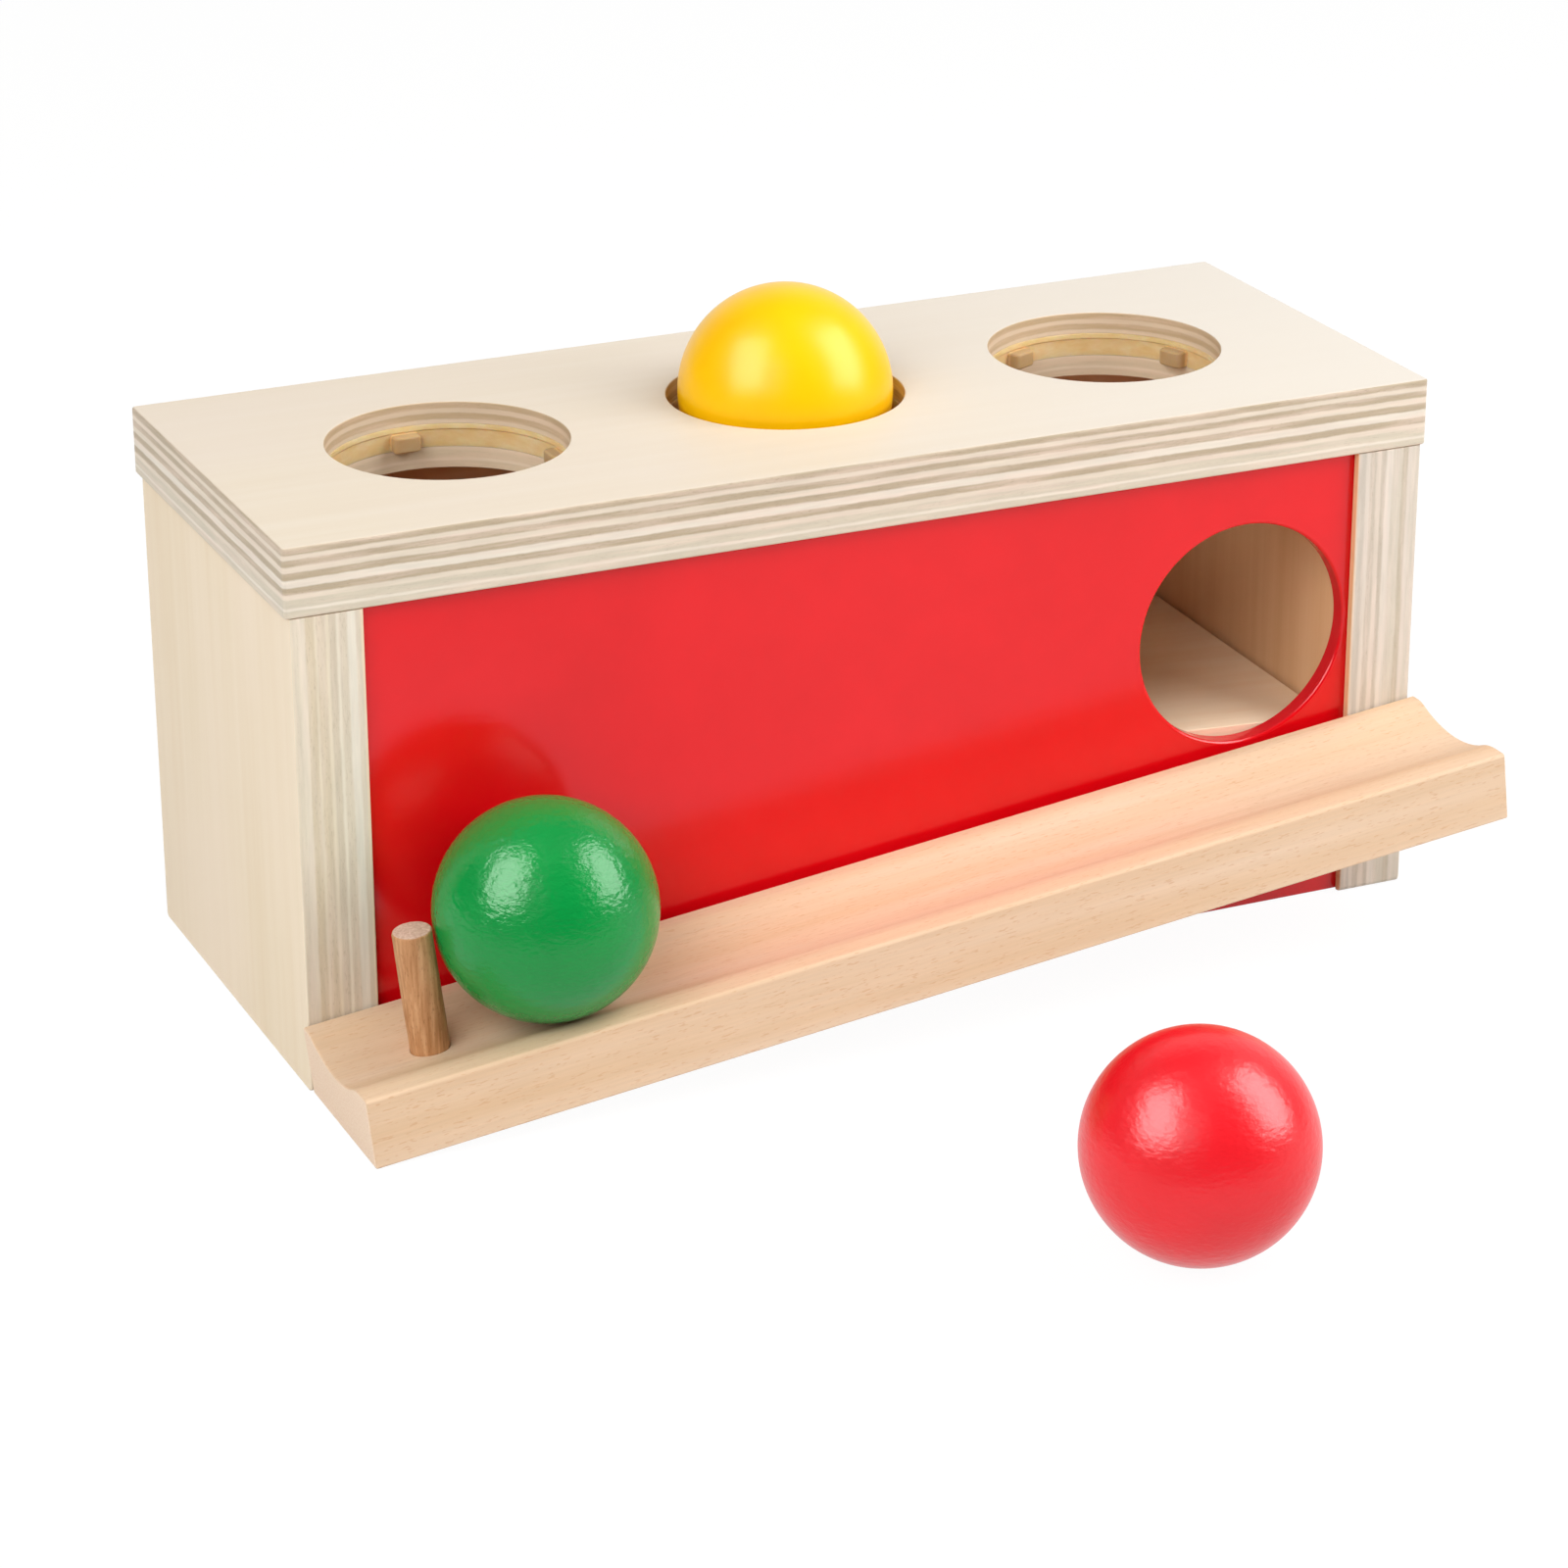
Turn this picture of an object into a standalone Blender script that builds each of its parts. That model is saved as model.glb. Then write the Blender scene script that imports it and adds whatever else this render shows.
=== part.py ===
"""Wooden object permanence box: a ball pushed through a rubber ring rolls down inside and out to the tray.

Metres, +Z up, +X to the right and +Y to the back. The box stands on Z = 0.
The box's own frame starts at the middle of the top board's front edge, straight above the ground.
The whole set, with the loose ball in front, is centred on the origin.
"""

from math import atan2, cos, pi, radians, sin, sqrt, tan

import bmesh
import bpy
from mathutils import Matrix, Vector

# Fits
FIT_GAP = 0.0003  # between faces that are glued, pressed or resting
CUT_OVERRUN = 0.002  # a cutter runs this far past the face it opens

# Top board
BOX_HEIGHT = 0.115
TOP_LENGTH = 0.253
TOP_DEPTH = 0.0965
TOP_THICKNESS = 0.0144
TOP_END_OVERHANG = 0.001
TOP_BACK_OVERHANG = 0.0015
EDGE_EASE = 0.0004  # worn edge of every board

# Side panels
SIDE_THICKNESS = 0.015
SIDE_SETBACK = 0.0002  # front edges behind the top board's
FOOT_EASE = 0.0008

# Front and back panels, held in grooves of the side panels
PANEL_THICKNESS = 0.004
PANEL_RECESS = 0.002
PANEL_GROOVE_DEPTH = 0.004
PANEL_FOOT_GAP = 0.0003

# Balls
BALL_DIAMETER = 0.045
RED_BALL_FORWARD = 0.1323  # centre in front of the box
RED_BALL_RIGHT = 0.0021

# Drop holes in the top board
HOLE_CLEARANCE = 0.0024  # round the ball
HOLE_END_BAND = 0.014  # at each end of the board, outside three equal bays with a hole each
HOLE_BAYS = 3
HOLE_RIGHT = 0.0003  # the row of holes, off the middle of the board
HOLE_BACK = 0.0004
HOLE_EASE = 0.0003

# Retaining rings
RING_DROP = 0.0047  # below the top board's face
RING_LIP_HEIGHT = 0.0013
RING_BAND_HEIGHT = 0.0037
RING_SEAT = 0.0018  # how far the ring sits in the wall
RING_LIP_PROUD = 0.0002
NUB_GRIP = 0.00065  # how far the nubs reach under the ball
NUB_WIDTH = 0.006
NUB_CORNER = 0.0012
NUB_INSET = 0.0001  # within the band's two edges
NUB_COUNT = 4
RING_TURNS = (radians(1.5), radians(10), radians(22))  # left, middle, right

# Exit hole in the front panel
EXIT_CLEARANCE = 0.00175
EXIT_WALL_MARGIN = 0.00115  # from the right side panel
EXIT_TOP_MARGIN = 0.01275  # from the top board
EXIT_SILL_DROP = 0.00025  # below the ramp's surface
EXIT_EASE = 0.0008

# Ball ramp
RAMP_THICKNESS = 0.006
RAMP_SLOPE = radians(3.5)  # down to the right
RAMP_TILT = radians(1)  # down to the front
CLEAT_WIDTH = 0.01
CLEAT_HEIGHT = 0.01
CLEAT_SETBACK = 0.006  # from the front and back panels

# Ball tray
TRAY_SLOPE = radians(6.48)
TRAY_DEPTH = 0.0368
TRAY_HEIGHT = 0.015
TRAY_END_INSET = 0.00055  # low end, from the left side panel's outer face
TRAY_OVERHANG = 0.0029  # high end, past the right side panel
TRAY_EASE = 0.0005
TRAY_LIP_ROUND = 0.001
GROOVE_RIDGE = 0.0033  # flat strip behind the groove
GROOVE_LIP = 0.0063  # flat strip before the groove
GROOVE_DEPTH = 0.0035
GROOVE_STEPS = 14

# Stop peg
PEG_DIAMETER = 0.008
PEG_INSET = 0.0202  # from the tray's low end
PEG_STANDOUT = 0.0261  # above the groove's bottom
PEG_SEAT_DEPTH = 0.008

# Dowels
TOP_DOWEL_DIAMETER = 0.006
TOP_DOWEL_LENGTH = 0.02
TOP_DOWEL_RISE = 0.008  # the part of it in the top board
TOP_DOWEL_INSET = 0.018  # from the side panel's front and back edges
TRAY_DOWEL_DIAMETER = 0.005
TRAY_DOWEL_LENGTH = 0.02
TRAY_DOWEL_HEIGHT = 0.0062  # above the tray's lower face

ROUND_STEPS = 48
BALL_SEGMENTS = 32
BALL_RINGS = 16
PEG_STEPS = 24
DOWEL_STEPS = 16
WELD_DISTANCE = 0.000001
SHARP_ANGLE = radians(35)

# Sizes that follow
BALL_RADIUS = BALL_DIAMETER / 2
HOLE_RADIUS = BALL_RADIUS + HOLE_CLEARANCE
HOLE_PITCH = (TOP_LENGTH - 2 * HOLE_END_BAND) / HOLE_BAYS
HOLE_Y = TOP_DEPTH / 2 + HOLE_BACK
EXIT_RADIUS = BALL_RADIUS + EXIT_CLEARANCE
TOP_UNDERSIDE = BOX_HEIGHT - TOP_THICKNESS
SIDE_OUTER = TOP_LENGTH / 2 - TOP_END_OVERHANG
SIDE_INNER = SIDE_OUTER - SIDE_THICKNESS
SIDE_BACK = TOP_DEPTH - TOP_BACK_OVERHANG
SIDE_TOP = TOP_UNDERSIDE - FIT_GAP
FRONT_PANEL_Y = SIDE_SETBACK + PANEL_RECESS
BACK_PANEL_Y = SIDE_BACK - PANEL_RECESS - PANEL_THICKNESS
CHAMBER_FRONT = FRONT_PANEL_Y + PANEL_THICKNESS
NUB_TIP_RADIUS = BALL_RADIUS - NUB_GRIP
RING_TOP = BOX_HEIGHT - RING_DROP
NUB_TOP = RING_TOP - RING_LIP_HEIGHT
RING_BOTTOM = NUB_TOP - RING_BAND_HEIGHT
RING_OUTER = HOLE_RADIUS + RING_SEAT
EXIT_X = SIDE_INNER - EXIT_WALL_MARGIN - EXIT_RADIUS
EXIT_Z = TOP_UNDERSIDE - EXIT_TOP_MARGIN - EXIT_RADIUS
RAMP_LOW_HEIGHT = EXIT_Z - EXIT_RADIUS + EXIT_SILL_DROP  # surface at the front right corner
TRAY_BACK = SIDE_SETBACK - FIT_GAP
TRAY_START = -SIDE_OUTER + TRAY_END_INSET
TRAY_LENGTH = (SIDE_OUTER + TRAY_OVERHANG - TRAY_START) / cos(TRAY_SLOPE)
GROOVE_WIDTH = TRAY_DEPTH - GROOVE_RIDGE - GROOVE_LIP
GROOVE_MIDDLE = -(GROOVE_RIDGE + GROOVE_WIDTH / 2)
PEG_RADIUS = PEG_DIAMETER / 2


def clear_scene():
    for obj in list(bpy.data.objects):
        bpy.data.objects.remove(obj)


def new_collection(name):
    collection = bpy.data.collections.new(name)
    bpy.context.scene.collection.children.link(collection)
    return collection


def new_material(name, colour, roughness, metallic=0.0, coat=0.0):
    material = bpy.data.materials.new(name)
    material.use_nodes = True
    shader = material.node_tree.nodes["Principled BSDF"]
    shader.inputs["Base Color"].default_value = (*colour, 1)
    shader.inputs["Roughness"].default_value = roughness
    shader.inputs["Metallic"].default_value = metallic
    shader.inputs["Coat Weight"].default_value = coat
    return material


def new_empty(name, parent, location=(0, 0, 0), rotation=(0, 0, 0)):
    empty = bpy.data.objects.new(name, None)
    parts.objects.link(empty)
    empty.parent = parent
    empty.location = location
    empty.rotation_euler = rotation
    return empty


def place(name, data, parent, material, location, rotation=(0, 0, 0)):
    """An object of this shape. One with no material is a cutter."""
    obj = bpy.data.objects.new(name, data)
    obj.parent = parent
    obj.location = location
    obj.rotation_euler = rotation
    if material is None:
        cutters.objects.link(obj)
        obj.hide_render = True
        obj.display_type = "WIRE"
    else:
        parts.objects.link(obj)
        data.materials.append(material)
    return obj


def block(name, low, high, parent, material=None):
    """A box between two corners of the parent's frame."""
    size = Vector(high) - Vector(low)
    shape = bmesh.new()
    bmesh.ops.create_cube(shape, size=1)
    bmesh.ops.scale(shape, vec=size, verts=shape.verts)
    mesh = bpy.data.meshes.new(name)
    shape.to_mesh(mesh)
    shape.free()
    return place(name, mesh, parent, material, Vector(low) + size / 2)


def rod(name, radius, length, steps, parent, material, location, rotation=(0, 0, 0)):
    """A cylinder along the local Z axis, from the location up."""
    shape = bmesh.new()
    bmesh.ops.create_cone(
        shape, cap_ends=True, segments=steps, radius1=radius, radius2=radius, depth=length,
        matrix=Matrix.Translation((0, 0, length / 2)),
    )
    mesh = bpy.data.meshes.new(name)
    shape.to_mesh(mesh)
    shape.free()
    obj = place(name, mesh, parent, material, location, rotation)
    shade_round(mesh)
    return obj


def turned(name, profile, steps, parent, material, location, rotation=(0, 0, 0)):
    """A solid turned about the local Z axis from (radius, height) points that run down its outer side."""
    mesh = bpy.data.meshes.new(name)
    points = [(radius, 0, height) for radius, height in profile]
    edges = [(i, i + 1) for i in range(len(points) - 1)]
    closed = profile[0][0] > 0
    if closed:
        edges.append((len(points) - 1, 0))
    mesh.from_pydata(points, edges, [])
    obj = place(name, mesh, parent, material, location, rotation)
    screw = obj.modifiers.new("Turn", "SCREW")
    screw.steps = steps
    screw.render_steps = steps
    screw.use_merge_vertices = True
    screw.merge_threshold = WELD_DISTANCE
    screw.use_smooth_shade = False
    return obj


def shade_round(mesh):
    mesh.shade_smooth()
    mesh.set_sharp_from_angle(angle=SHARP_ANGLE)


def cut(obj, cutter, operation="DIFFERENCE"):
    boolean = obj.modifiers.new(cutter.name, "BOOLEAN")
    boolean.operation = operation
    boolean.object = cutter


def ease(obj, width, segments=2):
    bevel = obj.modifiers.new("Eased edges", "BEVEL")
    bevel.width = width
    bevel.segments = segments
    bevel.limit_method = "ANGLE"


def make_drop_hole_cutter(name, x):
    """The hole, its eased rims and the groove for the ring, as one turned cutter."""
    groove = RING_OUTER + FIT_GAP
    over = CUT_OVERRUN
    profile = [
        (0, BOX_HEIGHT + over),
        (HOLE_RADIUS + HOLE_EASE, BOX_HEIGHT + over),
        (HOLE_RADIUS + HOLE_EASE, BOX_HEIGHT),
        (HOLE_RADIUS, BOX_HEIGHT - HOLE_EASE),
        (HOLE_RADIUS, RING_TOP + FIT_GAP),
        (groove, RING_TOP + FIT_GAP),
        (groove, RING_BOTTOM - FIT_GAP),
        (HOLE_RADIUS, RING_BOTTOM - FIT_GAP),
        (HOLE_RADIUS, TOP_UNDERSIDE + HOLE_EASE),
        (HOLE_RADIUS + HOLE_EASE, TOP_UNDERSIDE),
        (HOLE_RADIUS + HOLE_EASE, TOP_UNDERSIDE - over),
        (0, TOP_UNDERSIDE - over),
    ]
    return turned(name, profile, ROUND_STEPS, box, None, (x, HOLE_Y, 0))


def hole_places():
    return (("left", HOLE_RIGHT - HOLE_PITCH), ("middle", HOLE_RIGHT), ("right", HOLE_RIGHT + HOLE_PITCH))


def dowel_places():
    """Middles of the four dowels between the top board and the side panels."""
    x = (SIDE_INNER + SIDE_OUTER) / 2
    front = SIDE_SETBACK + TOP_DOWEL_INSET
    back = SIDE_BACK - TOP_DOWEL_INSET
    return (
        ("left_front", -x, front),
        ("left_back", -x, back),
        ("right_front", x, front),
        ("right_back", x, back),
    )


def make_top_board():
    low = (-TOP_LENGTH / 2, 0, TOP_UNDERSIDE)
    board = block("top_board", low, (TOP_LENGTH / 2, TOP_DEPTH, BOX_HEIGHT), box, birch_ply)
    ease(board, EDGE_EASE)
    for side, x in hole_places():
        cut(board, make_drop_hole_cutter(side + "_drop_hole", x))
    radius = TOP_DOWEL_DIAMETER / 2 + FIT_GAP
    for side, x, y in dowel_places():
        length = TOP_DOWEL_RISE + FIT_GAP + CUT_OVERRUN
        start = (x, y, TOP_UNDERSIDE - CUT_OVERRUN)
        cut(board, rod(side + "_top_socket", radius, length, DOWEL_STEPS, box, None, start))


def make_side_panel(side, hand):
    """One side panel, with its panel grooves, dowel sockets and tray socket. Hand is -1 on the left."""
    near = min(hand * SIDE_INNER, hand * SIDE_OUTER)
    low = (near, SIDE_SETBACK, 0)
    high = (near + SIDE_THICKNESS, SIDE_BACK, SIDE_TOP)
    panel = block(side + "_side_panel", low, high, box, birch_ply_upright)
    ease(panel, FOOT_EASE)
    inner = hand * (SIDE_INNER - CUT_OVERRUN)
    floor = hand * (SIDE_INNER + PANEL_GROOVE_DEPTH)
    for place_name, y in (("front", FRONT_PANEL_Y), ("back", BACK_PANEL_Y)):
        groove_low = (min(inner, floor), y - FIT_GAP, -CUT_OVERRUN)
        groove_high = (max(inner, floor), y + PANEL_THICKNESS + FIT_GAP, SIDE_TOP + CUT_OVERRUN)
        cut(panel, block(f"{side}_{place_name}_groove", groove_low, groove_high, box))
    depth = TOP_DOWEL_LENGTH - TOP_DOWEL_RISE
    radius = TOP_DOWEL_DIAMETER / 2 + FIT_GAP
    for name, x, y in dowel_places():
        if x * hand > 0:
            length = depth + FIT_GAP + CUT_OVERRUN
            start = (x, y, TOP_UNDERSIDE - depth - FIT_GAP)
            cut(panel, rod(name + "_side_socket", radius, length, DOWEL_STEPS, box, None, start))
    cut(panel, make_tray_socket(side, hand))


def tray_dowel_place(hand):
    """Where a tray dowel crosses the joint: in the wood left beside the front panel's groove."""
    x = hand * (SIDE_INNER + PANEL_GROOVE_DEPTH + SIDE_OUTER) / 2
    along = (x - TRAY_START) / cos(TRAY_SLOPE) + TRAY_DOWEL_HEIGHT * tan(TRAY_SLOPE)
    return x, along * sin(TRAY_SLOPE) + TRAY_DOWEL_HEIGHT * cos(TRAY_SLOPE)


def make_tray_socket(side, hand):
    """A blind cutter across the joint of tray and side panel, used on both."""
    x, z = tray_dowel_place(hand)
    length = TRAY_DOWEL_LENGTH + 2 * FIT_GAP
    start = (x, TRAY_BACK + length / 2, z)
    radius = TRAY_DOWEL_DIAMETER / 2 + FIT_GAP
    return rod(side + "_tray_socket", radius, length, DOWEL_STEPS, box, None, start, (pi / 2, 0, 0))


def make_thin_panel(name, y, material):
    """The front or back panel, standing in both grooves."""
    reach = SIDE_INNER + PANEL_GROOVE_DEPTH - FIT_GAP
    low = (-reach, y, PANEL_FOOT_GAP)
    return block(name, low, (reach, y + PANEL_THICKNESS, SIDE_TOP), box, material)


def make_front_panel():
    panel = make_thin_panel("front_panel", FRONT_PANEL_Y, red_lacquer)
    front = CUT_OVERRUN
    back = -PANEL_THICKNESS
    rim = EXIT_RADIUS + EXIT_EASE
    profile = [
        (0, front),
        (rim, front),
        (rim, 0),
        (EXIT_RADIUS, -EXIT_EASE),
        (EXIT_RADIUS, back - CUT_OVERRUN),
        (0, back - CUT_OVERRUN),
    ]
    centre = (EXIT_X, FRONT_PANEL_Y, EXIT_Z)
    cut(panel, turned("exit_hole", profile, ROUND_STEPS, box, None, centre, (pi / 2, 0, 0)))


def make_ramp():
    """The ramp and its two cleats, cut to the chamber between the four walls."""
    corner = (SIDE_INNER, CHAMBER_FRONT, RAMP_LOW_HEIGHT)
    slope = new_empty("ramp_slope", box, corner, (RAMP_TILT, RAMP_SLOPE, 0))
    across = 2 * SIDE_INNER
    depth = BACK_PANEL_Y - CHAMBER_FRONT
    over = CUT_OVERRUN
    low = (-SIDE_INNER + FIT_GAP, CHAMBER_FRONT + FIT_GAP, 0)
    high = (SIDE_INNER - FIT_GAP, BACK_PANEL_Y - FIT_GAP, TOP_UNDERSIDE)
    chamber = block("chamber", low, high, box)
    slab_low = (-across - over - RAMP_THICKNESS, -over, -RAMP_THICKNESS)
    ramp = block("ball_ramp", slab_low, (over + RAMP_THICKNESS, depth + over, 0), slope, birch_ply)
    cut(ramp, chamber, "INTERSECT")
    roof = -RAMP_THICKNESS - FIT_GAP
    overhang = over + RAMP_THICKNESS
    left_end = (-across - overhang, -across + CLEAT_WIDTH)
    for side, (start, end) in (("left", left_end), ("right", (-CLEAT_WIDTH, overhang))):
        cleat_low = (start, CLEAT_SETBACK, roof - CLEAT_HEIGHT)
        cleat_high = (end, depth - CLEAT_SETBACK, roof)
        cleat = block(side + "_ramp_cleat", cleat_low, cleat_high, slope, pine)
        cut(cleat, chamber, "INTERSECT")


def groove_points():
    """The groove across the tray, from back to front, as an arc of (across, up) points."""
    half = GROOVE_WIDTH / 2
    radius = (half * half + GROOVE_DEPTH * GROOVE_DEPTH) / (2 * GROOVE_DEPTH)
    axis = TRAY_HEIGHT - GROOVE_DEPTH + radius
    reach = atan2(half, radius - GROOVE_DEPTH)
    turns = [reach - 2 * reach * i / GROOVE_STEPS for i in range(GROOVE_STEPS + 1)]
    return [(GROOVE_MIDDLE + radius * sin(turn), axis - radius * cos(turn)) for turn in turns]


def corner_points(across, up, radius, first_turn, steps):
    """A rounded corner of the tray, whose arc is centred on (across, up)."""
    turns = [first_turn + pi / 2 * i / steps for i in range(steps + 1)]
    return [(across + radius * cos(turn), up + radius * sin(turn)) for turn in turns]


def tray_outline():
    """The tray's section in its own frame: back face at 0, groove up, going round from the lower back."""
    small = TRAY_EASE
    lip = TRAY_LIP_ROUND
    lip_points = corner_points(-TRAY_DEPTH + lip, TRAY_HEIGHT - lip, lip, pi / 2, 4)
    foot_points = corner_points(-TRAY_DEPTH + small, small, small, pi, 2)
    top_points = corner_points(-small, TRAY_HEIGHT - small, small, 0, 2)
    heel_points = corner_points(-small, small, small, -pi / 2, 2)
    return heel_points + top_points + groove_points() + lip_points + foot_points


def make_tray():
    outline = bpy.data.curves.new("ball_tray", "CURVE")
    outline.dimensions = "2D"
    outline.fill_mode = "BOTH"
    outline.extrude = TRAY_LENGTH / 2
    points = tray_outline()
    spline = outline.splines.new("POLY")
    spline.points.add(len(points) - 1)
    for point, (across, up) in zip(spline.points, points):
        point.co = (across, up, 0, 1)
    spline.use_cyclic_u = True
    middle = (TRAY_LENGTH / 2, 0, 0)
    curve = place("tray_outline", outline, tray_frame, None, middle, (pi / 2, 0, pi / 2))
    tray = mesh_from_curve("ball_tray", curve, beech)
    for side, hand in (("left", -1), ("right", 1)):
        cut(tray, bpy.data.objects[side + "_tray_socket"])
    groove_bottom = TRAY_HEIGHT - GROOVE_DEPTH
    floor = (PEG_INSET, GROOVE_MIDDLE, groove_bottom - PEG_SEAT_DEPTH - FIT_GAP)
    length = PEG_SEAT_DEPTH + FIT_GAP + CUT_OVERRUN
    cut(tray, rod("peg_socket", PEG_RADIUS + FIT_GAP, length, PEG_STEPS, tray_frame, None, floor))


def mesh_from_curve(name, curve, material):
    """The curve's filled shape as a mesh object in the same place. The curve goes."""
    bpy.context.view_layer.update()
    graph = bpy.context.evaluated_depsgraph_get()
    mesh = bpy.data.meshes.new_from_object(curve.evaluated_get(graph))
    mesh.name = name
    shape = bmesh.new()
    shape.from_mesh(mesh)
    bmesh.ops.remove_doubles(shape, verts=shape.verts, dist=WELD_DISTANCE)
    bmesh.ops.recalc_face_normals(shape, faces=shape.faces)
    shape.to_mesh(mesh)
    shape.free()
    mesh.materials.clear()
    obj = place(name, mesh, curve.parent, material, curve.location, curve.rotation_euler)
    bpy.data.objects.remove(curve)
    return obj


def make_peg():
    start = (PEG_INSET, GROOVE_MIDDLE, TRAY_HEIGHT - GROOVE_DEPTH - PEG_SEAT_DEPTH)
    length = PEG_SEAT_DEPTH + PEG_STANDOUT
    peg = rod("stop_peg", PEG_RADIUS, length, PEG_STEPS, tray_frame, dark_beech, start)
    ease(peg, EDGE_EASE, 1)


def make_ring(side, x, turn):
    """A rubber ring in the hole's groove: a lip, a band under it and nubs that hold the ball."""
    lip = HOLE_RADIUS - RING_LIP_PROUD
    profile = [
        (RING_OUTER, RING_TOP),
        (RING_OUTER, RING_BOTTOM),
        (HOLE_RADIUS, RING_BOTTOM),
        (HOLE_RADIUS, NUB_TOP),
        (lip, NUB_TOP),
        (lip, RING_TOP),
    ]
    place_of = (x, HOLE_Y, 0)
    ring = turned(side + "_retaining_ring", profile, ROUND_STEPS, box, amber_rubber, place_of)
    cut(ring, make_nubs(side, place_of, turn), "UNION")


def make_nubs(side, place_of, turn):
    """The ring's nubs: blocks rooted in the band, with round inner corners."""
    root = HOLE_RADIUS + RING_SEAT / 2
    low = RING_BOTTOM + NUB_INSET
    height = NUB_TOP - NUB_INSET - low
    shape = bmesh.new()
    for i in range(NUB_COUNT):
        nub = bmesh.ops.create_cube(shape, size=1)["verts"]
        bmesh.ops.scale(shape, vec=(root - NUB_TIP_RADIUS, NUB_WIDTH, height), verts=nub)
        middle = ((root + NUB_TIP_RADIUS) / 2, 0, low + height / 2)
        bmesh.ops.translate(shape, vec=middle, verts=nub)
        tip_edges = [
            edge
            for edge in {edge for vertex in nub for edge in vertex.link_edges}
            if all(vertex.co.x < middle[0] for vertex in edge.verts)
            and edge.verts[0].co.y * edge.verts[1].co.y > 0
        ]
        rounded = bmesh.ops.bevel(
            shape, geom=tip_edges, offset=NUB_CORNER, segments=3, profile=0.5, affect="EDGES"
        )
        whole = set(rounded["verts"]) | {vertex for vertex in nub if vertex.is_valid}
        around = Matrix.Rotation(turn + 2 * pi * i / NUB_COUNT, 3, "Z")
        bmesh.ops.rotate(shape, cent=(0, 0, 0), matrix=around, verts=list(whole))
    mesh = bpy.data.meshes.new(side + "_nubs")
    shape.to_mesh(mesh)
    shape.free()
    return place(side + "_nubs", mesh, box, None, place_of)


def make_ball(name, parent, location, material):
    shape = bmesh.new()
    bmesh.ops.create_uvsphere(
        shape, u_segments=BALL_SEGMENTS, v_segments=BALL_RINGS, radius=BALL_RADIUS
    )
    mesh = bpy.data.meshes.new(name)
    shape.to_mesh(mesh)
    shape.free()
    mesh.shade_smooth()
    place(name, mesh, parent, material, location)


def height_over(points, across):
    """How high the ball's centre is when it comes down on these (across, up) points."""
    reach = BALL_RADIUS + FIT_GAP
    return max(
        up + sqrt(reach * reach - (across - side) ** 2)
        for side, up in points
        if abs(across - side) < reach
    )


def make_balls():
    """Yellow on the middle ring's nubs, green rolled down to the peg, red on the ground."""
    yellow_height = height_over([(NUB_TIP_RADIUS, NUB_TOP - NUB_INSET)], 0)
    make_ball("yellow_ball", box, (HOLE_RIGHT, HOLE_Y, yellow_height), yellow_lacquer)
    beside_panel = FRONT_PANEL_Y - TRAY_BACK - BALL_RADIUS - FIT_GAP
    across = min(GROOVE_MIDDLE, beside_panel)
    up = height_over(groove_points(), across)
    reach = BALL_RADIUS + PEG_RADIUS + FIT_GAP
    along = PEG_INSET + sqrt(reach * reach - (across - GROOVE_MIDDLE) ** 2)
    make_ball("green_ball", tray_frame, (along, across, up), green_lacquer)
    red_place = (RED_BALL_RIGHT, -RED_BALL_FORWARD, BALL_RADIUS)
    make_ball("red_ball", box, red_place, red_ball_lacquer)


def make_dowels():
    for name, x, y in dowel_places():
        start = (x, y, TOP_UNDERSIDE + TOP_DOWEL_RISE - TOP_DOWEL_LENGTH)
        radius = TOP_DOWEL_DIAMETER / 2
        rod(name + "_top_dowel", radius, TOP_DOWEL_LENGTH, DOWEL_STEPS, box, pine, start)
    for side, hand in (("left", -1), ("right", 1)):
        x, z = tray_dowel_place(hand)
        start = (x, TRAY_BACK + TRAY_DOWEL_LENGTH / 2 + FIT_GAP / 2, z)
        radius = TRAY_DOWEL_DIAMETER / 2
        turn = (pi / 2, 0, 0)
        rod(side + "_tray_dowel", radius, TRAY_DOWEL_LENGTH, DOWEL_STEPS, box, pine, start, turn)


def centre_on_origin(root):
    """Moves the whole set so that the middle of its footprint is the origin."""
    bpy.context.view_layer.update()
    graph = bpy.context.evaluated_depsgraph_get()
    corners = [
        obj.matrix_world @ Vector(corner)
        for obj in parts.objects
        if obj.type == "MESH"
        for corner in obj.evaluated_get(graph).bound_box
    ]
    for axis in (0, 1):
        values = [corner[axis] for corner in corners]
        root.location[axis] -= (min(values) + max(values)) / 2


clear_scene()
parts = new_collection("object_permanence_box")
cutters = new_collection("cutters")

birch_ply = new_material("birch plywood", (0.86, 0.75, 0.61), 0.55)
birch_ply_upright = new_material("birch plywood, upright", (0.85, 0.72, 0.55), 0.55)
red_lacquer = new_material("red lacquered board", (0.72, 0.012, 0.02), 0.3, coat=0.4)
beech = new_material("beech", (0.82, 0.58, 0.39), 0.5)
dark_beech = new_material("steamed beech", (0.60, 0.35, 0.20), 0.6)
pine = new_material("pine", (0.78, 0.6, 0.38), 0.65)
amber_rubber = new_material("amber rubber", (0.68, 0.46, 0.18), 0.35)
yellow_lacquer = new_material("yellow lacquer", (0.97, 0.6, 0.003), 0.22, coat=0.5)
green_lacquer = new_material("green lacquer", (0.004, 0.32, 0.058), 0.22, coat=0.5)
red_ball_lacquer = new_material("red ball lacquer", (0.85, 0.03, 0.038), 0.22, coat=0.5)

box = new_empty("box", None)
tray_frame = new_empty("tray_frame", box, (TRAY_START, TRAY_BACK, 0), (0, -TRAY_SLOPE, 0))

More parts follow.
